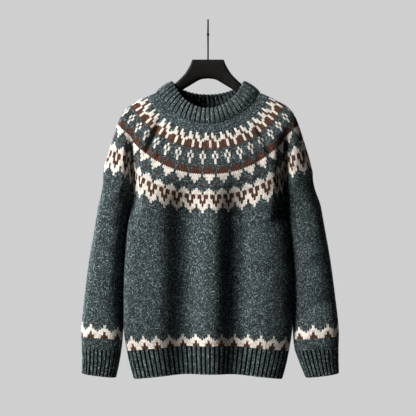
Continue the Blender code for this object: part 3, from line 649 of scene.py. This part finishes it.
class Lattice:
    """The points and faces of one piece, with what the stitch tree reads at each of them."""

    FLOATS = ("hand", "level", "leg")
    VECTORS = ("out", "course")

    def __init__(self):
        self.count = 0
        self.points = []
        self.flat = []
        self.values = {name: [] for name in self.FLOATS + self.VECTORS}
        self.faces = []
        self.yarns = []
        self.stitches = []

    def add_points(self, cloth, down, around, size, map_down, hand=0.0, level=0.0, leg=0.0, inset=0.0):
        count = len(around)
        down = np.full(count, down)
        out = cloth.out(down, around)
        self.points.append(cloth.at(down, around) - out * inset)
        self.flat.append(np.column_stack([np.mod(around, 1.0), np.full(count, map_down)]))
        self.values["out"].append(out)
        self.values["course"].append(cloth.course(down, around, size))
        for name, value in (("hand", hand), ("level", level), ("leg", leg)):
            self.values[name].append(np.broadcast_to(value, count))
        numbers = np.arange(self.count, self.count + count)
        self.count += count
        return numbers

    def add_faces(self, faces, yarn, stitch):
        self.faces.append(faces)
        self.yarns.append(np.broadcast_to(yarn, len(faces)))
        self.stitches.append(np.broadcast_to(stitch, len(faces)))

    def join(self, upper, lower):
        """Faces between two rings, each (point numbers, places round), of equal or unequal counts."""
        (a, a_place), (b, b_place) = upper, lower
        if len(a) == len(b):
            self.add_faces(np.column_stack([a, b, np.roll(b, -1), np.roll(a, -1)]), GROUND, 0)
            return
        faces, i, j = [], 0, 0
        a_next = np.append(a_place[1:], a_place[0] + 1.0)
        b_next = np.append(b_place[1:], b_place[0] + 1.0)
        while i < len(a) or j < len(b):
            if j == len(b) or (i < len(a) and a_next[i] <= b_next[j]):
                faces.append((a[i], b[j % len(b)], a[(i + 1) % len(a)]))
                i += 1
            else:
                faces.append((a[i % len(a)], b[j], b[(j + 1) % len(b)]))
                j += 1
        self.add_faces(np.array(faces), GROUND, 0)

    def knit(self, cloth, unit, units, rows, start, end, map_end, shift=0.0, column=0, closed=False):
        """Courses of one count of stitches. Returns its first and last rings."""
        places, hands, levels, legs = (np.array(part) for part in zip(*unit))
        lines = len(unit)
        around = ((np.arange(units)[:, None] + places[None, :]) / units).ravel() - shift / units
        hands, levels, legs = np.tile(hands, units), np.tile(levels, units), np.tile(legs, units)
        between = around + 0.5 * np.tile(np.diff(np.append(places, 1.0)), units) / units
        leg_level = 0.5 * (levels + np.roll(levels, -1))
        size = (end - start) / len(rows)
        edges = [start + size * r for r in range(len(rows) + 1)]
        stitch_at = np.repeat(np.arange(units), lines)
        rings = []
        for r, down in enumerate(edges):
            if closed and r == len(rows):
                rings.append(rings[0])
                continue
            swing = hands if closed or 0 < r < len(rows) else 0.0
            map_down = down * map_end
            rings.append(self.add_points(cloth, down, around, size, map_down, hand=swing, level=levels))
        for r, row in enumerate(rows):
            upper, lower = rings[r], rings[r + 1]
            a, b = upper, np.roll(upper, -1)
            d, c = lower, np.roll(lower, -1)
            middle = edges[r] + size / 2
            map_middle = middle * map_end
            tops = self.add_points(
                cloth, middle, between[legs], size, map_middle, level=leg_level[legs], leg=1.0
            )
            charted = np.array([YARNS[mark] for mark in row])
            yarn = charted[(np.arange(units) + column) % len(row)][stitch_at]
            stitch = 1 + r * units + stitch_at
            for first, second in ((a, d), (d, c), (c, b), (b, a)):
                faces = np.column_stack([first[legs], second[legs], tops])
                self.add_faces(faces, yarn[legs], stitch[legs])
            rest = ~legs
            if rest.any():
                faces = np.column_stack([a, d, c, b])[rest]
                self.add_faces(faces, yarn[rest], stitch[rest])
        return (rings[0], around), (rings[-1], around)

    def mesh(self, name, wall_start):
        points = np.concatenate(self.points)
        mesh = bpy.data.meshes.new(name)
        faces = [face for group in self.faces for face in group.tolist()]
        mesh.from_pydata(points.tolist(), [], faces)
        for key in self.FLOATS:
            attribute = mesh.attributes.new(key, "FLOAT", "POINT")
            attribute.data.foreach_set("value", np.concatenate(self.values[key]).astype(np.float32))
        for key in self.VECTORS:
            attribute = mesh.attributes.new(key, "FLOAT_VECTOR", "POINT")
            attribute.data.foreach_set("vector", np.concatenate(self.values[key]).ravel())
        for key, values in (("yarn", self.yarns), ("stitch", self.stitches)):
            attribute = mesh.attributes.new(key, "INT", "FACE")
            attribute.data.foreach_set("value", np.concatenate(values).astype(np.int32))
        self.part_the_legs(mesh, wall_start)
        self.flat_map(mesh)
        return mesh

    def part_the_legs(self, mesh, wall_start):
        """The outer face's edges between legs stay sharp, so that each leg is round on its own."""
        ends = np.empty(2 * len(mesh.edges), dtype=np.int32)
        mesh.edges.foreach_get("vertices", ends)
        ends = ends.reshape(-1, 2)
        leg = np.concatenate(self.values["leg"])
        low = (leg[ends[:, 0]] == 0.0) & (leg[ends[:, 1]] == 0.0)
        outside = (ends < wall_start).any(axis=1)
        sharp = mesh.attributes.new("sharp_edge", "BOOLEAN", "EDGE")
        sharp.data.foreach_set("value", low & outside)

    def flat_map(self, mesh):
        """A map in strips: the way round runs across, and each strip's section runs up."""
        corners = np.empty(len(mesh.loops), dtype=np.int32)
        mesh.loops.foreach_get("vertex_index", corners)
        starts = np.empty(len(mesh.polygons), dtype=np.int32)
        mesh.polygons.foreach_get("loop_start", starts)
        sizes = np.diff(np.append(starts, len(corners)))
        face = np.repeat(np.arange(len(starts)), sizes)
        place = np.concatenate(self.flat)[corners]
        around, down = place[:, 0].copy(), place[:, 1].copy()
        most = np.maximum.reduceat(around, starts)[face]
        around[(most - around) > 0.5] += 1.0
        lowest, highest = np.minimum.reduceat(down, starts)[face], np.maximum.reduceat(down, starts)[face]
        down[((highest - lowest) > 0.5) & (down < 0.5)] = 1.0
        strip = np.floor(np.minimum.reduceat(around, starts)[face] * STRIPS)
        inside = 1.0 - 2 * STRIP_MARGIN
        across = (around * STRIPS - strip) * inside + STRIP_MARGIN / 2
        along = (strip + STRIP_MARGIN + down * inside) / STRIPS
        layer = mesh.uv_layers.new(name="OFBake")
        layer.data.foreach_set("uv", np.column_stack([across, along]).ravel().astype(np.float32))


def knitted_tube(name, cloth, zones, unit, wall):
    """An open tube: courses down its outer face, a wall's thickness, and up a smooth inner face."""
    lattice = Lattice()
    total = sum(len(rows) for *_, rows in zones)
    rings, done = [], 0
    for count, column, shift, rows in zones:
        start = done / total
        done += len(rows)
        end = (done - (ZONE_JOIN if done < total else 0.0)) / total
        rings += lattice.knit(cloth, unit, count, rows, start, end, MAP_OUTER, shift, column)
    for k in range(1, len(rings) - 1, 2):
        lattice.join(rings[k], rings[k + 1])
    wall_start = lattice.count
    inner_columns = zones[-1][0]
    around = np.arange(inner_columns) / inner_columns
    inner = []
    for k in range(INNER_RINGS):
        down = 1.0 - k / (INNER_RINGS - 1)
        map_down = MAP_INNER + (MAP_END - MAP_INNER) * (1.0 - down)
        size = 1.0 / INNER_RINGS
        numbers = lattice.add_points(cloth, down, around, size, map_down, leg=INNER_LEG, inset=wall)
        inner.append((numbers, around))
    loop = [rings[-1], *inner, rings[0]]
    for upper, lower in zip(loop[:-1], loop[1:]):
        lattice.join(upper, lower)
    return lattice.mesh(name, wall_start)


def ribbed_band(name, cloth):
    """The collar: ribs all the way round its section."""
    lattice = Lattice()
    rows = chart((PLAIN, 2 * COLLAR_FACE_COURSES + COLLAR_FOLD_COURSES + 1))
    lattice.knit(cloth, RIB, COLLAR_RIBS, rows, start=0.0, end=1.0, map_end=1.0, shift=0.5, closed=True)
    return lattice.mesh(name, lattice.count)


# ---------------------------------------------------------------- the stitch tree


def add_node(tree, kind, **settings):
    node = tree.nodes.new(kind)
    for key, value in settings.items():
        setattr(node, key, value)
    return node


def feed(tree, socket, value):
    """A number or a colour is set on a socket, and anything else is linked to it."""
    if isinstance(value, (int, float, tuple)):
        socket.default_value = value
    else:
        tree.links.new(value, socket)


def fill(tree, node, values):
    """Sets or links each of a node's named inputs."""
    for label, value in values.items():
        feed(tree, node.inputs[label], value)


def maths(tree, operation, *values):
    node = add_node(tree, "ShaderNodeMath", operation=operation)
    for socket, value in zip(node.inputs, values):
        feed(tree, socket, value)
    return node.outputs[0]


def stitch_tree():
    """Raises the legs of the stitches, leans them, sinks the ribs' grooves and dyes the yarns."""
    tree = bpy.data.node_groups.new("knitted_stitches", "GeometryNodeTree")
    face = tree.interface
    face.new_socket("Geometry", in_out="INPUT", socket_type="NodeSocketGeometry")
    for name, value in (
        ("Leg height", LEG_HEIGHT),
        ("Leg sink", LEG_SINK),
        ("Leg lean", LEG_LEAN),
        ("Rib depth", RIB_DEPTH),
        ("Unevenness", UNEVEN),
    ):
        socket = face.new_socket(name, in_out="INPUT", socket_type="NodeSocketFloat")
        socket.default_value = value
    face.new_socket("Seed", in_out="INPUT", socket_type="NodeSocketInt")
    for name in ("Ground", "Pattern", "Accent"):
        face.new_socket(name, in_out="INPUT", socket_type="NodeSocketMaterial")
    face.new_socket("Geometry", in_out="OUTPUT", socket_type="NodeSocketGeometry")
    inputs = add_node(tree, "NodeGroupInput")
    outputs = add_node(tree, "NodeGroupOutput")
    link = tree.links.new

    def attribute(name, data_type="FLOAT"):
        node = add_node(tree, "GeometryNodeInputNamedAttribute", data_type=data_type)
        node.inputs["Name"].default_value = name
        return node.outputs["Attribute"]

    def scaled(vector, by):
        node = add_node(tree, "ShaderNodeVectorMath", operation="SCALE")
        link(vector, node.inputs[0])
        link(by, node.inputs["Scale"])
        return node.outputs[0]

    def added(a, b):
        node = add_node(tree, "ShaderNodeVectorMath", operation="ADD")
        link(a, node.inputs[0])
        link(b, node.inputs[1])
        return node.outputs[0]

    raised = maths(tree, "MULTIPLY", attribute("leg"), inputs.outputs["Leg height"])
    raised = maths(tree, "SUBTRACT", raised, inputs.outputs["Leg sink"])
    raised = maths(tree, "MULTIPLY_ADD", attribute("level"), inputs.outputs["Rib depth"], raised)
    lean = maths(tree, "MULTIPLY", attribute("hand"), inputs.outputs["Leg lean"])
    lean = maths(tree, "MULTIPLY", lean, 0.5)
    wander = add_node(tree, "FunctionNodeRandomValue", data_type="FLOAT_VECTOR")
    wander.inputs[0].default_value = (-1.0, -1.0, -1.0)
    wander.inputs[1].default_value = (1.0, 1.0, 1.0)
    link(inputs.outputs["Seed"], wander.inputs["Seed"])
    up = scaled(attribute("out", "FLOAT_VECTOR"), raised)
    down = scaled(attribute("course", "FLOAT_VECTOR"), lean)
    offset = added(added(up, down), scaled(wander.outputs[0], inputs.outputs["Unevenness"]))
    move = add_node(tree, "GeometryNodeSetPosition")
    link(inputs.outputs["Geometry"], move.inputs["Geometry"])
    link(offset, move.inputs["Offset"])

    tone = add_node(tree, "FunctionNodeRandomValue", data_type="FLOAT")
    tone.inputs[2].default_value = 0.0
    tone.inputs[3].default_value = 1.0
    link(attribute("stitch", "INT"), tone.inputs["ID"])
    link(inputs.outputs["Seed"], tone.inputs["Seed"])
    store = add_node(tree, "GeometryNodeStoreNamedAttribute", data_type="FLOAT", domain="FACE")
    store.inputs["Name"].default_value = "tone"
    link(move.outputs["Geometry"], store.inputs["Geometry"])
    link(tone.outputs[1], store.inputs["Value"])

    real = add_node(tree, "GeometryNodeRealizeInstances")
    link(store.outputs["Geometry"], real.inputs["Geometry"])
    dyed = real.outputs["Geometry"]
    for yarn, name in ((GROUND, "Ground"), (PATTERN, "Pattern"), (ACCENT, "Accent")):
        picked = add_node(tree, "FunctionNodeCompare", data_type="INT", operation="EQUAL")
        link(attribute("yarn", "INT"), picked.inputs[2])
        picked.inputs[3].default_value = yarn
        dye = add_node(tree, "GeometryNodeSetMaterial")
        link(dyed, dye.inputs["Geometry"])
        link(picked.outputs[0], dye.inputs["Selection"])
        link(inputs.outputs[name], dye.inputs["Material"])
        dyed = dye.outputs["Geometry"]
    link(dyed, outputs.inputs["Geometry"])
    return tree


def place(name, mesh):
    obj = bpy.data.objects.new(name, mesh)
    bpy.context.scene.collection.objects.link(obj)
    return obj


def knit_up(name, lattice_mesh, tree, wools, seed, rib_depth):
    """The finished piece: the lattice after the stitch tree, as a plain mesh."""
    draft = place(name + "_lattice", lattice_mesh)
    modifier = draft.modifiers.new("stitches", "NODES")
    modifier.node_group = tree
    sockets = {item.name: item.identifier for item in tree.interface.items_tree if item.in_out == "INPUT"}
    modifier[sockets["Seed"]] = seed
    modifier[sockets["Rib depth"]] = rib_depth
    for socket, wool in zip(("Ground", "Pattern", "Accent"), wools):
        modifier[sockets[socket]] = wool
    bpy.context.view_layer.update()
    knitted = draft.evaluated_get(bpy.context.evaluated_depsgraph_get())
    mesh = bpy.data.meshes.new_from_object(knitted)
    mesh.name = name
    draft.modifiers.remove(modifier)
    bpy.data.objects.remove(draft)
    for spent in ("hand", "level", "out", "course", "yarn", "stitch"):
        if spent in mesh.attributes:
            mesh.attributes.remove(mesh.attributes[spent])
    return place(name, mesh)


# ---------------------------------------------------------------- materials


def srgb(red, green, blue):
    """A colour given in 0 to 255 as the eye sees it, for a colour socket."""
    linear = []
    for value in (red, green, blue):
        v = value / 255
        linear.append(v / 12.92 if v <= 0.04045 else ((v + 0.055) / 1.055) ** 2.4)
    return (*linear, 1.0)


def new_group(name, inputs, outputs):
    group = bpy.data.node_groups.new(name, "ShaderNodeTree")
    for label, kind, value in inputs:
        socket = group.interface.new_socket(label, in_out="INPUT", socket_type="NodeSocket" + kind)
        if value is not None:
            socket.default_value = value
    for label, kind in outputs:
        group.interface.new_socket(label, in_out="OUTPUT", socket_type="NodeSocket" + kind)
    return group, add_node(group, "NodeGroupInput").outputs, add_node(group, "NodeGroupOutput").inputs


def mixed_colour(tree, share, a, b):
    node = add_node(tree, "ShaderNodeMix", data_type="RGBA")
    for socket, value in ((node.inputs[0], share), (node.inputs[6], a), (node.inputs[7], b)):
        feed(tree, socket, value)
    return node.outputs[2]


def noise(tree, vector, scale, detail=2.0, roughness=0.5):
    node = add_node(tree, "ShaderNodeTexNoise")
    fill(tree, node, {"Vector": vector, "Scale": scale, "Detail": detail, "Roughness": roughness})
    return node.outputs["Fac"]


def stretched(tree, value, low, high):
    """A value spread from low..high to 0..1, and cut off there."""
    node = add_node(tree, "ShaderNodeMapRange")
    fill(tree, node, {"Value": value, "From Min": low, "From Max": high})
    return node.outputs["Result"]


ROUGHNESS = 0.5  # where nothing adds to it

# the range of the fleck noise over which a fleck of the light and of the dark shade comes in
LIGHT_FLECKS = (0.52, 0.62)
DARK_FLECKS = (0.48, 0.38)
FIBRES_PER_METRE = 1900.0
LIGHT_FIBRES = (0.50, 0.75)
FIBRE_STRENGTH = 0.35
CLOUDS_PER_METRE = 14.0
CLOUD_STRENGTH = 0.25


def heather_group():
    """Yarn spun from fibres of three shades: flecks, fibres and slow cloudiness, darkened by painted shade
    in the grooves between legs.
    """
    group, inputs, outputs = new_group(
        "heathered_yarn",
        (
            ("Vector", "Vector", None),
            ("Dark", "Color", None),
            ("Middle", "Color", None),
            ("Light", "Color", None),
            ("Flecks per metre", "Float", 270.0),
            ("Fleck strength", "Float", 1.0),
            ("Tone", "Float", 0.5),
            ("Tone strength", "Float", 0.2),
            ("Hollow", "Float", 1.0),
            ("Painted shade strength", "Float", 0.5),
        ),
        (("Color", "Color"), ("Roughness", "Float")),
    )
    links = group.links
    flecks = noise(group, inputs["Vector"], inputs["Flecks per metre"], detail=3.0, roughness=0.65)
    light = maths(group, "MULTIPLY", stretched(group, flecks, *LIGHT_FLECKS), inputs["Fleck strength"])
    dark = maths(group, "MULTIPLY", stretched(group, flecks, *DARK_FLECKS), inputs["Fleck strength"])
    colour = mixed_colour(group, light, inputs["Middle"], inputs["Light"])
    colour = mixed_colour(group, dark, colour, inputs["Dark"])
    fibres = noise(group, inputs["Vector"], FIBRES_PER_METRE, detail=1.0, roughness=0.6)
    fibre_light = maths(group, "MULTIPLY", stretched(group, fibres, *LIGHT_FIBRES), FIBRE_STRENGTH)
    fibre_light = maths(group, "MULTIPLY", fibre_light, inputs["Fleck strength"])
    colour = mixed_colour(group, fibre_light, colour, inputs["Light"])
    clouds = noise(group, inputs["Vector"], CLOUDS_PER_METRE)
    tone = maths(group, "SUBTRACT", inputs["Tone"], 0.5)
    tone = maths(group, "MULTIPLY", tone, inputs["Tone strength"])
    cloud = maths(group, "MULTIPLY", maths(group, "SUBTRACT", clouds, 0.5), CLOUD_STRENGTH)
    brightness = maths(group, "ADD", maths(group, "ADD", tone, cloud), 1.0)
    # painted shade: the colour darkens as the Hollow input falls from 1 on a leg's top to 0 in the grooves
    # between legs
    painted_shade = maths(group, "SUBTRACT", 1.0, inputs["Hollow"])
    painted_shade = maths(group, "MULTIPLY", painted_shade, inputs["Painted shade strength"])
    brightness = maths(group, "MULTIPLY", brightness, maths(group, "SUBTRACT", 1.0, painted_shade))
    shade = add_node(group, "ShaderNodeVectorMath", operation="SCALE")
    links.new(colour, shade.inputs[0])
    links.new(brightness, shade.inputs["Scale"])
    links.new(shade.outputs[0], outputs["Color"])
    links.new(maths(group, "MULTIPLY_ADD", fibres, 0.2, ROUGHNESS), outputs["Roughness"])
    return group


LUMPS_PER_METRE = 260.0
LUMP_HEIGHT = 1.5  # times a strand's


def fibre_group():
    """Heights of the twisted strands and of the lumps in the yarn under them."""
    group, inputs, outputs = new_group(
        "fibre_relief",
        (("Vector", "Vector", None), ("Strands per metre", "Float", 1100.0)),
        (("Height", "Float"),),
    )
    strands = noise(group, inputs["Vector"], inputs["Strands per metre"], detail=2.0, roughness=0.6)
    lumps = noise(group, inputs["Vector"], LUMPS_PER_METRE, detail=1.0)
    height = maths(group, "ADD", strands, maths(group, "MULTIPLY", lumps, LUMP_HEIGHT))
    group.links.new(height, outputs["Height"])
    return group


def base_material(name):
    material = bpy.data.materials.new(name)
    material.use_nodes = True
    tree = material.node_tree
    return material, tree, tree.nodes["Principled BSDF"]


def relief(tree, height, strength, distance):
    bump = add_node(tree, "ShaderNodeBump")
    fill(tree, bump, {"Height": height, "Strength": strength, "Distance": distance})
    return bump.outputs["Normal"]


# each wool's dark, middle and light shades, and how strong its flecks, its painted shade in the grooves
# between legs and its sheen are
WOOLS = {
    "charcoal_wool": (srgb(8, 15, 16), srgb(54, 70, 73), srgb(150, 168, 169), 1.0, 0.85, 0.05),
    "cream_wool": (srgb(212, 198, 180), srgb(247, 238, 225), srgb(254, 250, 244), 0.35, 0.45, 0.1),
    "brown_wool": (srgb(26, 9, 3), srgb(80, 39, 18), srgb(132, 80, 48), 0.8, 0.6, 0.1),
}
TONE_SHARE = 0.9  # how strongly stitches differ in tone, as a share of the flecks' strength


def wool(name, heather, fibre):
    dark, middle, light, fleck, painted_shade, sheen = WOOLS[name]
    material, tree, shader = base_material(name)
    places = add_node(tree, "ShaderNodeTexCoord").outputs["Object"]
    yarn = add_node(tree, "ShaderNodeGroup", node_tree=heather)
    yarn_values = {
        "Vector": places,
        # the leg share sets where painted shade darkens the grooves between legs
        "Hollow": add_node(tree, "ShaderNodeAttribute", attribute_name="leg").outputs["Fac"],
        "Tone": add_node(tree, "ShaderNodeAttribute", attribute_name="tone").outputs["Fac"],
        "Dark": dark,
        "Middle": middle,
        "Light": light,
        "Fleck strength": fleck,
        "Tone strength": TONE_SHARE * fleck,
        "Painted shade strength": painted_shade,
    }
    fill(tree, yarn, yarn_values)
    strands = add_node(tree, "ShaderNodeGroup", node_tree=fibre)
    fill(tree, strands, {"Vector": places})
    shader_values = {
        "Base Color": yarn.outputs["Color"],
        "Roughness": yarn.outputs["Roughness"],
        "Normal": relief(tree, strands.outputs["Height"], strength=0.55, distance=0.0004),
        "Sheen Weight": sheen,
        "Sheen Roughness": 0.6,
        "Specular IOR Level": 0.15,
    }
    fill(tree, shader, shader_values)
    return material


GRAIN_SCALE = (12.0, 160.0, 160.0)  # drawn out along the hanger's arms
DARK_STAIN = srgb(8, 7, 6)
PALE_STAIN = srgb(20, 16, 12)
DARK_STEEL = srgb(38, 38, 40)
WORN_STEEL = srgb(78, 78, 80)


def stained_wood():
    material, tree, shader = base_material("stained_wood")
    places = add_node(tree, "ShaderNodeTexCoord").outputs["Object"]
    along = add_node(tree, "ShaderNodeMapping")
    fill(tree, along, {"Vector": places, "Scale": GRAIN_SCALE})
    grain = noise(tree, along.outputs["Vector"], scale=4.0, detail=4.0, roughness=0.6)
    streaks = stretched(tree, grain, low=0.42, high=0.66)
    shader_values = {
        "Base Color": mixed_colour(tree, streaks, DARK_STAIN, PALE_STAIN),
        "Roughness": maths(tree, "MULTIPLY_ADD", grain, 0.25, ROUGHNESS),
        "Normal": relief(tree, grain, strength=0.2, distance=0.0003),
        "Specular IOR Level": 0.12,
        "Coat Weight": 0.02,
        "Coat Roughness": 0.3,
    }
    fill(tree, shader, shader_values)
    return material


def dark_wire():
    material, tree, shader = base_material("dark_wire")
    places = add_node(tree, "ShaderNodeTexCoord").outputs["Object"]
    wear = noise(tree, places, scale=500.0, detail=3.0, roughness=0.6)
    worn = stretched(tree, wear, low=0.5, high=0.75)
    shader_values = {
        "Base Color": mixed_colour(tree, worn, DARK_STEEL, WORN_STEEL),
        "Roughness": maths(tree, "MULTIPLY_ADD", wear, 0.3, ROUGHNESS),
        "Metallic": 0.9,
    }
    fill(tree, shader, shader_values)
    return material


def pale_paper():
    material, tree, shader = base_material("pale_paper")
    fill(tree, shader, {"Base Color": FLOOR_COLOUR, "Roughness": 0.9, "Specular IOR Level": 0.1})
    return material


# ---------------------------------------------------------------- hanger and hook


def capped_mesh(name, loops):
    """A solid through loops of equal counts, closed by a flat face at each end."""
    columns = len(loops[0])
    faces = [tuple(range(columns)), tuple(range(len(loops) * columns - columns, len(loops) * columns))]
    for i in range(len(loops) - 1):
        for a in range(columns):
            b = (a + 1) % columns
            low, high = i * columns, (i + 1) * columns
            faces.append((low + a, low + b, high + b, high + a))
    mesh = bpy.data.meshes.new(name)
    mesh.from_pydata([tuple(p) for p in np.concatenate(loops)], [], faces)
    shape = bmesh.new()
    shape.from_mesh(mesh)
    bmesh.ops.recalc_face_normals(shape, faces=shape.faces)
    shape.to_mesh(mesh)
    shape.free()
    mesh.shade_smooth()
    mesh.set_sharp_from_angle(angle=SMOOTH_ANGLE)
    return mesh


def hanger_mesh():
    turn = np.linspace(0.0, 2 * math.pi, HANGER_SIDES, endpoint=False) + math.pi / HANGER_SIDES
    across = np.sign(np.cos(turn)) * np.abs(np.cos(turn)) ** (2 / HANGER_SQUARENESS)
    along = np.sign(np.sin(turn)) * np.abs(np.sin(turn)) ** (2 / HANGER_SQUARENESS)
    arm = HANGER_ROWS[-1][0]
    loops = []
    for x in np.linspace(-arm, arm, 2 * HANGER_SECTIONS + 1):
        row = read_table(HANGER_NAMES, HANGER_ROWS, abs(x))
        middle, half_height = (row["top"] + row["bottom"]) / 2, (row["top"] - row["bottom"]) / 2
        places = np.full(HANGER_SIDES, x)
        loops.append(np.column_stack([places, across * row["half_depth"], middle + along * half_height]))
    return capped_mesh("hanger_wood", loops)


def hook_path():
    """The wire's centre line and radius: up the stem, over the crown and down to a ball."""
    crown = HOOK_CROWN + HOOK_RADIUS
    centre_z = -HOOK_CROWN
    foot_z = HANGER_ROWS[0][1] + HOOK_FOOT_GAP
    bend_z = centre_z - HOOK_BEND * crown
    points = [(0.0, foot_z), (0.0, bend_z)]
    for step in range(1, HOOK_STEM_STEPS + 1):
        share = step / (HOOK_STEM_STEPS + 1)
        points.append((-crown * smooth_step(share), bend_z + (centre_z - bend_z) * share))
    for step in range(HOOK_CROWN_STEPS + 1):
        turn = math.pi * (1.0 - step / HOOK_CROWN_STEPS)
        points.append((crown * math.cos(turn), centre_z + crown * math.sin(turn)))
    points.append((crown, centre_z - HOOK_TIP_DROP))
    radii = [HOOK_RADIUS] * len(points)
    ball_z = centre_z - HOOK_TIP_DROP - HOOK_BALL_RADIUS
    start = math.asin(HOOK_RADIUS / HOOK_BALL_RADIUS)
    for step in range(1, HOOK_BALL_STEPS + 1):
        turn = start + (HOOK_BALL_END * math.pi - start) * step / HOOK_BALL_STEPS
        points.append((crown, ball_z + HOOK_BALL_RADIUS * math.cos(turn)))
        radii.append(HOOK_BALL_RADIUS * math.sin(turn))
    return np.array(points), radii


def hook_mesh():
    """The wire bends only in the plane x = 0, so each section's sides are +X and its normal."""
    path, radii = hook_path()
    ahead = np.gradient(path, axis=0)
    ahead /= np.linalg.norm(ahead, axis=1, keepdims=True)
    turn = np.linspace(0.0, 2 * math.pi, HOOK_SIDES, endpoint=False)
    loops = []
    for (y, z), (dy, dz), radius in zip(path, ahead, radii):
        x = radius * np.cos(turn)
        side = radius * np.sin(turn)
        loops.append(np.column_stack([x, y - dz * side, z + dy * side]))
    return capped_mesh("hook_wire", loops)


# ---------------------------------------------------------------- studio


FLOOR_Z = -1.9
FLOOR_RADIUS = 1.1
FLOOR_SIDES = 128
FLOOR_COLOUR = srgb(225, 225, 226)
BACKDROP_COLOUR = srgb(207, 207, 208)
AMBIENT = 0.005
AIM = Vector((0.0, 0.0, -0.439))  # the lights and the camera point at the garment's middle
CAMERA_DISTANCE = 3.2
CAMERA_LENS = 118.0
LIGHT_SPREAD = math.radians(60)

# name, place, width of the panel, power
LIGHTS = (
    ("key", (-2.5, -1.1, 0.98), 2.0, 63.0),
    ("fill", (0.6, -3.0, 0.3), 1.6, 0.1),
    ("back_right", (2.5, 1.3, 0.5), 1.6, 7.0),
    ("back_left", (-1.2, 2.8, 0.5), 1.6, 7.0),
)


def lay_the_floor():
    """A round pale floor, well under the hem."""
    turn = np.linspace(0.0, 2 * math.pi, FLOOR_SIDES, endpoint=False)
    points = [(FLOOR_RADIUS * math.cos(t), FLOOR_RADIUS * math.sin(t), FLOOR_Z) for t in turn]
    mesh = bpy.data.meshes.new("floor")
    mesh.from_pydata(points, [], [tuple(range(FLOOR_SIDES))])
    mesh.materials.append(pale_paper())
    place("floor", mesh)


def light_the_studio():
    bpy.context.scene.view_settings.view_transform = "Standard"
    for name, at, width, power in LIGHTS:
        lamp = bpy.data.lights.new(name, "AREA")
        lamp.size = width
        lamp.energy = power
        lamp.spread = LIGHT_SPREAD
        panel = bpy.data.objects.new(name, lamp)
        panel.location = at
        panel.rotation_euler = (AIM - Vector(at)).to_track_quat("-Z", "Y").to_euler()
        panel.visible_camera = False
        bpy.context.scene.collection.objects.link(panel)


def hang_the_backdrop():
    """An even pale backdrop all round, that lights the garment only faintly."""
    world = bpy.data.worlds.new("studio")
    world.use_nodes = True
    tree = world.node_tree
    faint = tree.nodes["Background"]
    fill(tree, faint, {"Color": BACKDROP_COLOUR, "Strength": AMBIENT})
    seen = add_node(tree, "ShaderNodeBackground")
    fill(tree, seen, {"Color": BACKDROP_COLOUR})
    chosen = add_node(tree, "ShaderNodeMixShader")
    tree.links.new(add_node(tree, "ShaderNodeLightPath").outputs["Is Camera Ray"], chosen.inputs[0])
    tree.links.new(faint.outputs[0], chosen.inputs[1])
    tree.links.new(seen.outputs[0], chosen.inputs[2])
    tree.links.new(chosen.outputs[0], tree.nodes["World Output"].inputs["Surface"])
    bpy.context.scene.world = world


def set_camera():
    lens = bpy.data.cameras.new("camera")
    lens.lens = CAMERA_LENS
    camera = bpy.data.objects.new("camera", lens)
    camera.location = AIM + Vector((0.0, -CAMERA_DISTANCE, 0.0))
    camera.rotation_euler = (math.radians(90), 0.0, 0.0)
    bpy.context.scene.collection.objects.link(camera)
    bpy.context.scene.camera = camera


# ---------------------------------------------------------------- putting the piece together


def plain_tube(name, rings, zones):
    return knitted_tube(name, Cloth(wrinkled(rings)), zones, STOCKINETTE, KNIT_WALL)


def ribbed_tube(name, rings, zones):
    return knitted_tube(name, Cloth(rings), zones, RIB, RIB_WALL)


def garment():
    """Each knitted piece's lattice and slot, by the part that it stands for."""
    yoke = yoke_rings()
    pieces = {
        "collar": (ribbed_band("collar_rib", Cloth(collar_rings(), closed=True)), "wool_rib"),
        "yoke": (plain_tube("yoke", yoke, YOKE_ZONES), "wool_fair_isle"),
        "body": (plain_tube("body", body_rings(yoke[-1]), BODY_ZONES), "wool"),
        "hem_rib": (ribbed_tube("hem", hem_rings(), HEM_ZONES), "wool_rib"),
    }
    for side in ("left", "right"):
        placed = mirror_x if side == "left" else np.array
        sleeve = placed(sleeve_rings(side, placed(yoke[-1])))
        cuff = placed(cuff_rings(side))
        pieces["sleeve_" + side] = (plain_tube("sleeve", sleeve, SLEEVE_ZONES), "wool")
        pieces["cuff_" + side] = (ribbed_tube("cuff", cuff, CUFF_ZONES), "wool_rib")
    return pieces


def finished(piece, node):
    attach(piece, BODY)
    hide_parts(node)


def main():
    heather, fibre = heather_group(), fibre_group()
    wools = [wool(name, heather, fibre) for name in WOOLS]
    tree = stitch_tree()
    made = {}
    for seed, (node, (mesh, slot)) in enumerate(garment().items()):
        rib_depth = RIB_DEPTHS.get(node, RIB_DEPTH)
        made[node] = knit_up("knitted_" + node, mesh, tree, wools, seed, rib_depth)
        finished(made[node], node)

    hanger = place("wooden_hanger", hanger_mesh())
    hanger.data.materials.append(stained_wood())
    finished(hanger, "hanger")
    hook = place("wire_hook", hook_mesh())
    hook.data.materials.append(dark_wire())
    finished(hook, "hook")

    lay_the_floor()
    light_the_studio()
    hang_the_backdrop()
    set_camera()


main()
